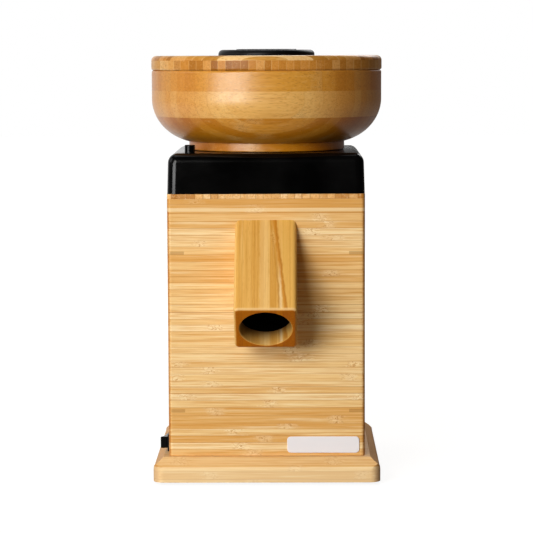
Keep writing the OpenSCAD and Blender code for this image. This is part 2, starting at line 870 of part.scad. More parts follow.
module lid_knob() {
    r = knob_edge_r;
    color(black_matt) difference() {
        rotate_extrude() difference() {
            union() {
                translate([0, lid_top_z]) square([knob_r - r, knob_h]);
                translate([0, lid_top_z]) square([knob_r, knob_h - r]);
                translate([knob_r - r, lid_top_z + knob_h - r]) circle(r = r);
            }
            translate([0, lid_top_z - 2 * r]) square([knob_r + past, 2 * r]);
        }
        translate([0, 0, lid_top_z + knob_h + knob_plate_out - knob_plate_t])
            cylinder(r = knob_plate_r, h = knob_plate_t + past);
        knob_screw_places() translate([0, 0, -past]) cylinder(r = screw_r, h = knob_h - 1 + past);
    }
}

module lid_knob_plate() {
    color(black_gloss) translate([0, 0, lid_top_z + knob_h + knob_plate_out - knob_plate_t])
        cylinder(r = knob_plate_r, h = knob_plate_t);
}

module lid_knob_screws() {
    color(zinc) knob_screw_places() translate([0, 0, 3.5 - lid_t - lid_plug_h])
        pan_screw(lid_t + lid_plug_h + knob_h - 5);
}

// ---- stones ----

// Sloped furrows cut into a grinding face at z = 0, below it
module dress() {
    for (i = [0 : furrows - 1]) rotate([0, 0, 360 / furrows * i])
        translate([0, -furrow_offset, 0]) rotate([90, 0, 90]) linear_extrude(stone_r + past)
            polygon([[0, past], [0, -furrow_d], [-furrow_w, 0], [-furrow_w, past]]);
}

module upper_stone() {
    color(stone_grey) difference() {
        translate([0, 0, upper_face_z]) cylinder(r = stone_r, h = upper_stone_t);
        translate([0, 0, upper_face_z - past]) cylinder(r = stone_eye_r, h = upper_stone_t + 2 * past);
        translate([0, 0, upper_face_z - eps]) cylinder(r1 = stone_eye_r + 7, r2 = stone_eye_r, h = 8);
        translate([0, 0, upper_face_z]) mirror([0, 0, 1]) dress();
    }
}

module upper_stone_carrier() {
    color(alloy) difference() {
        union() {
            translate([0, 0, web_z - skirt_h]) cylinder(r = skirt_r, h = skirt_h);
            translate([0, 0, web_z]) cylinder(r = web_r, h = web_t);
            translate([0, 0, web_z]) cylinder(r = thread_r, h = barrel_top_z - web_z);
        }
        translate([0, 0, web_z - skirt_h - past]) cylinder(r = stone_r, h = skirt_h + past);
        translate([0, 0, web_z - past]) cylinder(r = throat_out_r + 2, h = web_t + 2 * past);
        translate([0, 0, web_z + web_t]) cylinder(r = barrel_r, h = barrel_top_z);
        translate([0, 0, web_z - past]) pin_places() cylinder(r = pin_r + running_gap, h = web_t + 2 * past);
    }
}

module pin_places() {
    round_at(pin_circle, [90, 210, 330]) children();
}

module stone_guide_pins() {
    color(steel) translate([0, 0, house_z]) pin_places() cylinder(r = pin_r, h = pin_top_z - house_z);
}

module stone_springs() {
    color(steel) translate([0, 0, flange_top_z]) pin_places()
        coil_spring(pin_r + 1.3, 0.5, web_z - flange_top_z, 4);
}

module lower_stone() {
    color(stone_grey) difference() {
        translate([0, 0, lower_stone_z]) cylinder(r = stone_r, h = lower_stone_t);
        translate([0, 0, lower_stone_z - past]) cylinder(r = stone_eye_r, h = lower_stone_t + 2 * past);
        translate([0, 0, lower_face_z]) dress();
    }
}

module lower_stone_carrier() {
    reach = chamber_r - sweeper_gap;
    fin_r = stone_r + 1;
    color(alloy) difference() {
        union() {
            translate([0, 0, disc_z]) cylinder(r = stone_r, h = carrier_disc_t);
            translate([0, 0, disc_z - sweeper_h]) cylinder(r = shaft_r + 6, h = sweeper_h + eps);
            for (i = [0 : sweepers - 1]) rotate([0, 0, 360 / sweepers * i]) {
                translate([shaft_r + 2, -2, disc_z - sweeper_h]) cube([reach - shaft_r - 3, 4, sweeper_h + eps]);
                translate([fin_r, -2, disc_z - sweeper_h])
                    cube([reach - fin_r - 1, 4, lower_face_z - 2 - disc_z + sweeper_h]);
            }
        }
        translate([0, 0, disc_z - sweeper_h - past]) cylinder(r = shaft_r, h = carrier_disc_t + sweeper_h + 2 * past);
    }
}

module stone_nut() {
    color(zinc) translate([0, 0, lower_stone_z]) difference() {
        union() {
            cylinder(r = stone_eye_r - 2, h = 2);
            hex_nut(17, 9);
        }
        translate([0, 0, -past]) cylinder(r = shaft_end_r, h = 9 + 2 * past);
    }
}

// ---- milling chamber ----

module chamber_screw_places() {
    translate([0, 0, flange_top_z]) round_at(flange_r - 6, [45 : 90 : 315]) translate([0, 0, -flange_t]) children();
}

module milling_chamber() {
    wall_r = chamber_r + chamber_wall;
    outlet_out_w = outlet_w + 6;
    color(alloy) difference() {
        union() {
            translate([0, 0, chamber_z]) cylinder(r = wall_r, h = flange_top_z - chamber_z);
            translate([0, 0, house_z]) cylinder(r = flange_r, h = flange_t);
            translate([-outlet_out_w / 2, chute_back_y, chamber_z])
                cube([outlet_out_w, -chute_back_y - 30, chute_roof_z - chamber_z]);
        }
        translate([0, 0, chamber_in_z]) cylinder(r = chamber_r, h = flange_top_z);
        translate([0, 0, chamber_z - past]) cylinder(r = shaft_r + seal_w, h = chamber_floor_t + 2 * past);
        outlet_passage(chute_back_y - past, -30);
        translate([0, 0, chamber_z - past]) mount_places() cylinder(r = 2.5, h = chamber_floor_t + 2 * past);
        translate([0, 0, chamber_in_z - 2.5]) mount_places() cylinder(r1 = 2.5, r2 = 5.02, h = 2.5 + eps);
        translate([0, 0, house_z - past]) pin_places() cylinder(r = pin_r, h = flange_t + 2 * past);
        chamber_screw_places() translate([0, 0, -past]) cylinder(r = screw_r, h = flange_t + 2 * past);
    }
}

module chamber_screws() {
    color(zinc) chamber_screw_places() {
        translate([0, 0, flange_t]) cylinder(r = screw_head_r, h = screw_head_h);
        translate([0, 0, -board_plug_h]) cylinder(r = screw_r, h = flange_t + board_plug_h + eps);
    }
}

module chamber_seal() {
    color(felt) translate([0, 0, flange_top_z]) tube(chamber_r + 2.4, skirt_r + 0.3, 2.5);
}

module shaft_seal() {
    color(felt) translate([0, 0, chamber_z]) tube(shaft_r + seal_w, shaft_r + running_gap, chamber_floor_t);
}

// ---- motor ----

module mount_places() {
    round_at(mount_circle, [45 : 90 : 315]) children();
}

module shield_slots(z, h) {
    round_at(motor_r, [22.5 : 45 : 337.5]) translate([-shield_wall - past, -7, z]) cube([shield_wall + 3, 14, h]);
}

module motor_top_shield() {
    plate_z = motor_top_z - shield_plate_t;
    bottom_z = stator_z + stator_l;
    color(alloy) difference() {
        union() {
            difference() {
                translate([0, 0, bottom_z]) cylinder(r = motor_r, h = top_shield_h);
                translate([0, 0, bottom_z - past]) cylinder(r = motor_r - shield_wall, h = plate_z - bottom_z + past);
                shield_slots(bottom_z + 9, 11);
            }
            translate([0, 0, upper_bearing_z - 1]) cylinder(r = bearing_r + 5, h = bearing_w + 1 + eps);
            round_at(bolt_circle, [0 : 90 : 270]) translate([0, 0, bottom_z]) cylinder(r = bolt_post_r, h = plate_z - bottom_z + eps);
        }
        translate([0, 0, upper_bearing_z - 1 - past]) cylinder(r = bearing_r, h = bearing_w + 1 + past);
        translate([0, 0, plate_z - past]) cylinder(r = shaft_r + 1.5, h = shield_plate_t + 2 * past);
        round_at(bolt_circle, [0 : 90 : 270]) translate([0, 0, bottom_z - past]) cylinder(r = 2, h = top_shield_h + 2 * past);
        translate([0, 0, plate_z - past]) mount_places() cylinder(r = 2.5, h = shield_plate_t + 2 * past);
    }
}

module motor_bottom_shield() {
    plate_top = motor_z + shield_plate_t;
    color(alloy) difference() {
        union() {
            difference() {
                translate([0, 0, motor_z]) cylinder(r = motor_r, h = bottom_shield_h);
                translate([0, 0, plate_top]) cylinder(r = motor_r - shield_wall, h = bottom_shield_h);
                shield_slots(plate_top + 3, 9);
            }
            translate([0, 0, plate_top - eps]) cylinder(r = bearing_r + 5, h = bearing_w + 1);
            round_at(bolt_circle, [0 : 90 : 270]) translate([0, 0, plate_top - eps])
                cylinder(r = bolt_post_r, h = bottom_shield_h - shield_plate_t + eps);
        }
        translate([0, 0, plate_top]) cylinder(r = bearing_r, h = bearing_w + 1 + past);
        translate([0, 0, motor_z - past]) cylinder(r = shaft_r + 1.5, h = shield_plate_t + 2 * past);
        round_at(bolt_circle, [0 : 90 : 270]) translate([0, 0, motor_z - past])
            cylinder(r = 2, h = bottom_shield_h + 2 * past);
    }
}

module slot_outline(w, extra) {
    translate([stator_in_r + tooth_tip - extra, -w / 2]) square([slot_d + extra, w]);
}

module stator_core() {
    color(steel) translate([0, 0, stator_z]) linear_extrude(stator_l) difference() {
        circle(r = motor_r);
        circle(r = stator_in_r);
        for (i = [0 : slots - 1]) rotate(360 / slots * i) {
            slot_outline(slot_w, 0);
            slot_outline(slot_w / 3, tooth_tip + past);
        }
        round_at(bolt_circle, [0 : 90 : 270]) circle(r = 2);
    }
}

module stator_windings() {
    color(copper) {
        translate([0, 0, stator_z]) linear_extrude(stator_l)
            for (i = [0 : slots - 1]) rotate(360 / slots * i)
                translate([stator_in_r + tooth_tip + 0.2, -slot_w / 2 + 0.2]) square([slot_d - 0.4, slot_w - 0.4]);
        for (z = [stator_z - end_turn_h, stator_z + stator_l]) translate([0, 0, z])
            tube(slot_out_r, stator_in_r + tooth_tip, end_turn_h);
    }
}

module motor_through_bolts() {
    l = motor_top_z - motor_z;
    color(zinc) round_at(bolt_circle, [0 : 90 : 270]) translate([0, 0, motor_z]) {
        cylinder(r = 2, h = l + 4);
        translate([0, 0, -2.6]) hex_nut(7, 2.6);
        translate([0, 0, l]) hex_nut(7, 3);
    }
}

module rotor_core() {
    color(zinc) translate([0, 0, stator_z + 2]) {
        tube(rotor_r, shaft_r, stator_l - 4);
        for (z = [-6, stator_l - 4]) translate([0, 0, z]) tube(rotor_r - 1, rotor_r - 11, 6);
    }
}

module motor_shaft() {
    color(steel) {
        translate([0, 0, fan_z - 6]) cylinder(r = shaft_r, h = lower_stone_z - fan_z + 6);
        translate([0, 0, lower_stone_z - eps]) cylinder(r = shaft_end_r, h = 12);
    }
}

module bearing_places() {
    for (z = [upper_bearing_z, lower_bearing_z]) translate([0, 0, z]) children();
}

module bearing_outer_races() {
    color(steel) bearing_places() rotate_extrude() difference() {
        translate([outer_race_r, 0]) square([bearing_r - outer_race_r, bearing_w]);
        translate([ball_circle, bearing_w / 2]) circle(r = ball_r + running_gap);
    }
}

module bearing_inner_races() {
    color(steel) bearing_places() rotate_extrude() difference() {
        translate([shaft_r, 0]) square([inner_race_r - shaft_r, bearing_w]);
        translate([ball_circle, bearing_w / 2]) circle(r = ball_r);
    }
}

module bearing_balls() {
    color("#e4e6ea") bearing_places() round_at(ball_circle, [0 : 360 / balls : 359])
        translate([0, 0, bearing_w / 2]) sphere(r = ball_r);
}

module cooling_fan() {
    color(black_matt) translate([0, 0, fan_z]) difference() {
        union() {
            cylinder(r = fan_r, h = 2);
            cylinder(r = shaft_r + 5, h = fan_blade_h + 2);
            for (i = [0 : fan_blades - 1]) rotate([0, 0, 360 / fan_blades * i])
                translate([shaft_r + 4, -1, 2 - eps]) cube([fan_r - shaft_r - 6, 2, fan_blade_h]);
        }
        translate([0, 0, -past]) cylinder(r = shaft_r, h = fan_blade_h + 2 + 2 * past);
    }
}

module motor_isolators() {
    color(rubber) translate([0, 0, motor_top_z]) mount_places() tube(isolator_r, 2.5, isolator_t);
}

module motor_mount_bolts() {
    reach = chamber_floor_t + isolator_t + shield_plate_t;
    color(zinc) translate([0, 0, chamber_in_z]) mount_places() {
        translate([0, 0, -2.5]) cylinder(r1 = 2.5, r2 = 5, h = 2.5);
        translate([0, 0, -reach]) cylinder(r = 2.5, h = reach - 2.5 + eps);
    }
}

// ---- electric parts ----

module run_capacitor() {
    color("#d8d9db") translate([capacitor_at, capacitor_at, capacitor_z]) {
        cylinder(r = capacitor_r, h = capacitor_l);
        for (x = [-tab_x, tab_x]) translate([x - 1.5, -0.5, capacitor_l]) cube([3, 1, terminal_l]);
    }
}

module capacitor_clip() {
    arm_l = 0.9 * capacitor_r;
    color(zinc) translate([capacitor_at, capacitor_at, capacitor_z + (capacitor_l - clip_h) / 3]) difference() {
        union() {
            cylinder(r = capacitor_r + clip_t, h = clip_h);
            translate([-capacitor_r - arm_l, capacitor_r, 0]) cube([capacitor_r + arm_l, half_in - capacitor_at - capacitor_r, clip_h]);
        }
        translate([0, 0, -past]) cylinder(r = capacitor_r, h = clip_h + 2 * past);
    }
}

module thermal_cutout() {
    color(black_matt) translate([cutout_x, 0, motor_top_z]) {
        cylinder(r = cutout_y - 1, h = min(4, isolator_t - 1));
        for (y = [-cutout_y, cutout_y]) translate([-1.5, y - 1, 0]) cube([3, 2, 1]);
    }
}

function block_hole_x(i) = block_x + (i + 0.5) * block_pitch + 1;

module terminal_block() {
    hole_l = block_d - 3;
    color("#e8e4da") difference() {
        translate([block_x, block_y, gland_z]) cube([3 * block_pitch + 2, block_d, 2 * block_pitch]);
        for (i = [0 : 2]) translate([block_hole_x(i), block_y - past, block_hole_z])
            rotate([-90, 0, 0]) cylinder(r = lead_r + 0.9, h = hole_l + past);
    }
}

// A lead that runs from corner to corner along the axes, with a quarter ring at each corner between
module lead(corners) {
    last = len(corners) - 1;
    ways = [for (i = [1 : last]) (corners[i] - corners[i - 1]) / norm(corners[i] - corners[i - 1])];
    for (i = [1 : last]) {
        from = corners[i - 1] + (i == 1 ? 0 : lead_bend) * ways[i - 1];
        to = corners[i] - (i == last ? 0 : lead_bend) * ways[i - 1];
        translate(from) rotate([0, acos(ways[i - 1][2]), atan2(ways[i - 1][1], ways[i - 1][0])])
            cylinder(r = lead_r, h = norm(to - from));
    }
    for (i = [1 : last - 1]) {
        x = -ways[i];
        y = ways[i - 1];
        z = cross(x, y);
        centre = corners[i] - lead_bend * (x + y);
        multmatrix([for (k = [0 : 2]) [x[k], y[k], z[k], centre[k]]])
            rotate_extrude(angle = 90) translate([lead_bend, 0]) circle(r = lead_r);
    }
}

// Where a lead ends at the windings' end turns, for its distance from the axis
function winding_edge(away) = sqrt(pow(slot_out_r, 2) - pow(abs(away) - lead_r, 2)) + running_gap;

// Leads from switch, capacitor, cutout and windings; those of the windings pass the top shield's windows
module wiring_leads() {
    hole_end = block_y + block_d - 3;
    hole_y = block_y - lead_bend;
    winding_z = stator_z + stator_l + 11.5;
    switch_x = switch_depth + terminal_l - half_w;
    tab = [capacitor_at - tab_x, capacitor_at, capacitor_z + capacitor_l + terminal_l];
    far_tab = tab + [2 * tab_x, 0, 0];
    tab_side_x = capacitor_at - capacitor_r - 4;
    under_fan_z = fan_z - 12;
    cutout_z = motor_top_z + lead_r + 0.1;
    side_x = motor_r + 6;
    floor_z = body_z + 2.5;
    color(black_matt) {
        // winding to terminal block
        lead([
            [block_hole_x(0), winding_edge(block_hole_x(0)), winding_z], [block_hole_x(0), hole_y, winding_z],
            [block_hole_x(0), hole_y, block_hole_z], [block_hole_x(0), hole_end, block_hole_z],
        ]);
        // capacitor to terminal block, under the fan
        lead([
            tab, tab + [0, 0, 6], [tab_side_x, tab[1], tab[2] + 6], [tab_side_x, tab[1], under_fan_z],
            [block_hole_x(1), tab[1], under_fan_z], [block_hole_x(1), tab[1], block_hole_z],
            [block_hole_x(1), hole_end, block_hole_z],
        ]);
        // switch to terminal block, along the left side
        lead([
            [switch_x, switch_y, switch_z], [switch_x + 8, switch_y, switch_z], [switch_x + 8, hole_y, switch_z],
            [block_hole_x(2), hole_y, switch_z], [block_hole_x(2), hole_y, block_hole_z],
            [block_hole_x(2), hole_end, block_hole_z],
        ]);
        // cutout to winding and cutout to switch
        lead([
            [cutout_x + 1.5, cutout_y, cutout_z], [side_x, cutout_y, cutout_z], [side_x, 18.5, cutout_z],
            [side_x, 18.5, winding_z], [winding_edge(18.5), 18.5, winding_z],
        ]);
        lead([
            [cutout_x + 1.5, -cutout_y, cutout_z], [side_x, -cutout_y, cutout_z], [side_x, -cutout_y, floor_z],
            [switch_x + 4, -cutout_y, floor_z], [switch_x + 4, switch_y + terminal_y, floor_z],
            [switch_x + 4, switch_y + terminal_y, switch_z], [switch_x, switch_y + terminal_y, switch_z],
        ]);
        // capacitor to winding
        lead([
            far_tab, [far_tab[0], far_tab[1], winding_z], [far_tab[0], 24, winding_z],
            [winding_edge(24), 24, winding_z],
        ]);
    }
}

module cord_gland() {
    back = -panel_t - gland_in;
    nut_h = 0.6 * gland_in;
    color(black_matt) translate([-gland_x, half_w, gland_z]) rotate([-90, 0, 0]) difference() {
        union() {
            translate([0, 0, back]) cylinder(r = gland_r, h = eps - back);
            cylinder(r = gland_flange_r, h = gland_flange_t);
            translate([0, 0, gland_flange_t - eps])
                cylinder(r1 = gland_flange_r - 2, r2 = cord_r + 2, h = gland_cone_h);
            translate([0, 0, -panel_t - nut_h]) hex_nut(2 * gland_flange_r - 2, nut_h);
        }
        translate([0, 0, back - past]) cylinder(r = cord_r, h = gland_flange_t + gland_cone_h - back + 2 * past);
    }
}

// ---- switch ----

module at_switch() {
    translate([-half_w, switch_y, switch_z]) children();
}

module switch_housing() {
    well = 9;
    well_l = 2 * rocker_half_l + 1.4;
    well_h = rocker_h + 0.6;
    color(black_matt) at_switch() difference() {
        union() {
            translate([-switch_frame_t, -switch_l / 2, -switch_h / 2]) cube([switch_frame_t, switch_l, switch_h]);
            translate([-eps, -switch_body_l / 2, -switch_body_h / 2]) cube([switch_depth, switch_body_l, switch_body_h]);
        }
        translate([-switch_frame_t - past, -well_l / 2, -well_h / 2]) cube([switch_frame_t + past + well, well_l, well_h]);
        translate([-switch_frame_t / 2, 0, 0])
            cylinder(r = rocker_pin_r + running_gap, h = rocker_h + 2, center = true);
    }
}

module rocker_outline() {
    e = rocker_half_l;
    polygon([
        [-rocker_reach, -e], [1.6 - rocker_reach, 0], [-rocker_reach, e],
        [0, e - 1.3], [4, 2.5], [4, -2.5], [0, 1.3 - e],
    ]);
}

module switch_rocker() {
    tip = rocker_h / 2 - 0.8;
    root = rocker_h / 2;
    color(black_gloss) translate([rocker_pivot_x, switch_y, switch_z]) rotate([0, 0, -rocker_tilt]) {
        intersection() {
            linear_extrude(rocker_h, center = true) rocker_outline();
            rotate([90, 0, 0]) linear_extrude(4 * rocker_half_l, center = true) polygon([
                [-rocker_reach, -tip], [-1, -root], [5, -root], [5, root], [-1, root], [-rocker_reach, tip],
            ]);
        }
        cylinder(r = rocker_pin_r, h = rocker_h + 1.4, center = true);
    }
}

module switch_terminals() {
    color("#c8a050") at_switch() for (y = [-terminal_y, 0, terminal_y])
        translate([switch_depth, y - 0.4, -2.4]) cube([terminal_l, 0.8, 4.8]);
}

lid_board();
lid_knob();
lid_knob_plate();
lid_knob_screws();
hopper_bowl();
hopper_throat();
hopper_thread_ring();
hopper_ring_screws();
top_housing();
housing_screws();
release_button();
release_spring();
milling_chamber();
chamber_screws();
chamber_seal();
shaft_seal();
upper_stone();
upper_stone_carrier();
stone_guide_pins();
stone_springs();
lower_stone();
lower_stone_carrier();
stone_nut();
flour_chute();
spout_block();
spout_dowels();
motor_top_shield();
motor_bottom_shield();
stator_core();
stator_windings();
rotor_core();
motor_shaft();
bearing_outer_races();
bearing_inner_races();
bearing_balls();
cooling_fan();
motor_through_bolts();
motor_mount_bolts();
motor_isolators();
run_capacitor();
capacitor_clip();
thermal_cutout();
terminal_block();
wiring_leads();
cord_gland();
switch_housing();
switch_rocker();
switch_terminals();
front_panel();
back_panel();
left_panel();
right_panel();
corner_battens();
top_board();
base_plinth();
bottom_plate();
bottom_plate_screws();
rubber_feet();
foot_screws();
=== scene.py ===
import math
import bpy
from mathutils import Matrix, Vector


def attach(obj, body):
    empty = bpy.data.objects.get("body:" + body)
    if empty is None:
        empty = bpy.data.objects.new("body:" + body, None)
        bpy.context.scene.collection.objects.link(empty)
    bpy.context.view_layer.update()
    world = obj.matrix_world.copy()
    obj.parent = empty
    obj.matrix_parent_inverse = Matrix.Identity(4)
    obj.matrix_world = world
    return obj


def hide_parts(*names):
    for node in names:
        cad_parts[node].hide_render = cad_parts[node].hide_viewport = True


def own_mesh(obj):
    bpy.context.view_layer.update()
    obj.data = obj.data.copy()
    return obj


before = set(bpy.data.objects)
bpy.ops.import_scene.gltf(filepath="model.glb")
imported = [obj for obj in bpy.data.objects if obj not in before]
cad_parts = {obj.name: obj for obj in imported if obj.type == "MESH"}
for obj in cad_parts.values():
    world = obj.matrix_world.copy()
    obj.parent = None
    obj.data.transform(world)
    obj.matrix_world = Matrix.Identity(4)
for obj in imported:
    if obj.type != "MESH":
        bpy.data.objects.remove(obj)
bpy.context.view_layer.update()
mm = 0.001
mergeWithin = 0.002 * mm  # points of a mesh that lie nearer than this become one
print("frame loaded:", len(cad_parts), "nodes")


# small tools that the pieces share

def linear(code):
    # sRGB hex code to the linear colour that nodes take
    parts = [int(code[i:i + 2], 16) / 255 for i in (1, 3, 5)]
    return [c / 12.92 if c <= 0.04045 else ((c + 0.055) / 1.055) ** 2.4 for c in parts] + [1.0]


def addNode(tree, kind, inputs=None, **settings):
    # one node with its settings; an input is a value or another node's output
    node = tree.nodes.new("ShaderNode" + kind)
    for stop, (place, code) in enumerate(settings.pop("stops", [])):
        if stop > 1:
            node.color_ramp.elements.new(place)
        node.color_ramp.elements[stop].position = place
        node.color_ramp.elements[stop].color = linear(code)
    for key, value in settings.items():
        setattr(node, key, value)
    for key, value in (inputs or {}).items():
        if isinstance(value, bpy.types.NodeSocket):
            tree.links.new(value, node.inputs[key])
        else:
            node.inputs[key].default_value = value
    return node.outputs


def startMaterial(name, values):
    # a principled material with fixed values, and its place on the object in millimetres
    material = bpy.data.materials.new(name)
    material.use_nodes = True
    tree = material.node_tree
    surface = tree.nodes["Principled BSDF"].inputs
    for key, value in values.items():
        surface[key].default_value = linear(value) if isinstance(value, str) else value
    place = addNode(tree, "TexCoord")["Object"]
    spot = addNode(tree, "VectorMath", {0: place, "Scale": 1 / mm}, operation="SCALE")[0]
    return material, tree, surface, spot


def pickOnly(piece):
    bpy.ops.object.select_all(action="DESELECT")
    piece.select_set(True)
    bpy.context.view_layer.objects.active = piece


def applyStep(piece, kind, **settings):
    # adds a modifier and applies it
    pickOnly(piece)
    step = piece.modifiers.new(kind.lower(), kind)
    for key, value in settings.items():
        setattr(step, key, value)
    bpy.ops.object.modifier_apply(modifier=step.name)


def combine(piece, other, operation="DIFFERENCE"):
    applyStep(piece, "BOOLEAN", object=other, operation=operation, solver="EXACT")
    bpy.data.objects.remove(other)
    return piece


def soften(piece, width, segments=2, sharper=35):
    # a small round on every edge that turns more than the angle
    applyStep(piece, "BEVEL", width=width * mm, segments=segments, limit_method="ANGLE",
              angle_limit=math.radians(sharper))
    return piece


def selectWhere(piece, kind, test):
    # leaves the piece in edit mode with what passes the test picked, by its middle in mm and its direction
    pickOnly(piece)
    bpy.ops.object.mode_set(mode="EDIT")
    bpy.ops.mesh.select_mode(type=kind)
    bpy.ops.mesh.select_all(action="DESELECT")
    bpy.ops.object.mode_set(mode="OBJECT")
    mesh = piece.data
    for edge in mesh.edges if kind == "EDGE" else []:
        a, b = (mesh.vertices[i].co for i in edge.vertices)
        edge.select = test((a + b) / 2 / mm, (b - a).normalized())
    for face in mesh.polygons if kind == "FACE" else []:
        face.select = test(face.center / mm, face.normal)
    bpy.ops.object.mode_set(mode="EDIT")


def roundEdges(piece, radius, segments, test):
    selectWhere(piece, "EDGE", test)
    bpy.ops.mesh.bevel(offset=radius * mm, segments=segments, affect="EDGES")
    bpy.ops.object.mode_set(mode="OBJECT")


def addBox(name, low, high):
    bpy.ops.object.select_all(action="DESELECT")
    middle = [(a + b) / 2 * mm for a, b in zip(low, high)]
    lengths = [(b - a) * mm for a, b in zip(low, high)]
    bpy.ops.mesh.primitive_cube_add(size=1, location=middle, scale=lengths)
    bpy.ops.object.transform_apply()
    bpy.context.object.name = name
    return bpy.context.object


def addRod(name, radius, low, high, at=(0, 0), sides=64):
    bpy.ops.object.select_all(action="DESELECT")
    bpy.ops.mesh.primitive_cylinder_add(vertices=sides, radius=radius * mm, depth=(high - low) * mm,
                                        location=(at[0] * mm, at[1] * mm, (low + high) / 2 * mm))
    bpy.ops.object.transform_apply()
    bpy.context.object.name = name
    return bpy.context.object


def roundCorners(outline, closed):
    # points of an outline given as (x, y) or (x, y, corner radius)
    points = []
    for i, corner in enumerate(outline):
        here = Vector(corner[:2])
        inner = closed or 0 < i < len(outline) - 1
        if len(corner) == 2 or not inner:
            points.append(here)
            continue
        before = (Vector(outline[i - 1][:2]) - here).normalized()
        after = (Vector(outline[(i + 1) % len(outline)][:2]) - here).normalized()
        half = before.angle(after) / 2
        centre = here + (before + after).normalized() * corner[2] / math.sin(half)
        first = here + before * corner[2] / math.tan(half) - centre
        last = here + after * corner[2] / math.tan(half) - centre
        steps = max(2, round(math.degrees(math.pi - 2 * half) / 12))
        for k in range(steps + 1):
            points.append(centre + first.slerp(last, k / steps) * corner[2])
    return points


def drawOutline(name, points, lift):
    # one vertex, extruded from point to point; lift turns a point into a place in space
    bpy.ops.object.select_all(action="DESELECT")
    bpy.ops.mesh.primitive_plane_add(size=mm, location=(0, 0, 0))
    piece = bpy.context.object
    piece.name = name
    bpy.ops.object.mode_set(mode="EDIT")
    bpy.ops.mesh.select_mode(type="VERT")
    bpy.ops.mesh.merge(type="CENTER")
    places = [Vector(lift(p)) * mm for p in points]
    bpy.ops.transform.translate(value=places[0])
    for a, b in zip(places, places[1:]):
        bpy.ops.mesh.extrude_region_move(TRANSFORM_OT_translate={"value": b - a})
    bpy.ops.mesh.select_all(action="SELECT")
    return piece


def tidyMesh():
    bpy.ops.mesh.select_all(action="SELECT")
    bpy.ops.mesh.remove_doubles(threshold=mergeWithin)
    bpy.ops.mesh.normals_make_consistent(inside=False)
    bpy.ops.object.mode_set(mode="OBJECT")


def addTurned(name, outline, steps=144):
    # an outline of radius and height, spun round Z
    # it starts and ends on the axis, or is a ring's closed section
    ring = outline[0][0] > 0
    points = roundCorners(outline, ring)
    piece = drawOutline(name, points + points[:1] if ring else points, lambda p: (p[0], 0, p[1]))
    bpy.ops.mesh.spin(steps=steps, angle=math.tau, center=(0, 0, 0), axis=(0, 0, 1))
    tidyMesh()
    return piece


def addSlab(name, outline, low, high):
    # a flat outline in X and Y, filled and raised from low to high
    points = roundCorners(outline, True)
    piece = drawOutline(name, points + points[:1], lambda p: (p[0], p[1], low))
    bpy.ops.mesh.remove_doubles(threshold=mergeWithin)
    bpy.ops.mesh.edge_face_add()
    bpy.ops.mesh.extrude_region_move(TRANSFORM_OT_translate={"value": (0, 0, (high - low) * mm)})
    tidyMesh()
    return piece


def turnAndMove(piece, degrees, axis, move):
    # turns the piece about a main axis through the origin, then moves it in millimetres
    pickOnly(piece)
    piece.rotation_euler["XYZ".index(axis)] = math.radians(degrees)
    piece.location = Vector(move) * mm
    bpy.ops.object.transform_apply()


def joinAll(pieces):
    pickOnly(pieces[0])
    for piece in pieces:
        piece.select_set(True)
    bpy.ops.object.join()
    return bpy.context.object


def copyTo(piece, places):
    # copies in a row, each from the one before, joined into one piece
    pickOnly(piece)
    bpy.ops.transform.translate(value=Vector(places[0]) * mm)
    bpy.ops.object.transform_apply()
    made = [piece]
    for a, b in zip(places, places[1:]):
        bpy.ops.object.duplicate_move(TRANSFORM_OT_translate={"value": (Vector(b) - Vector(a)) * mm})
        bpy.ops.object.transform_apply()
        made.append(bpy.context.object)
    return joinAll(made)


def fit(piece, material, slot, body, *stoodFor):
    # the piece's finish, the slot (not used), the body that it belongs to, and the CAD nodes that it stands
    # for
    piece.data.materials.clear()
    piece.data.materials.append(material)
    pickOnly(piece)
    bpy.ops.object.shade_smooth_by_angle(angle=math.radians(32))
    applyStep(piece, "WEIGHTED_NORMAL", keep_sharp=True, weight=100)
    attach(piece, body)
    if stoodFor:
        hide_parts(*stoodFor)


# bamboo

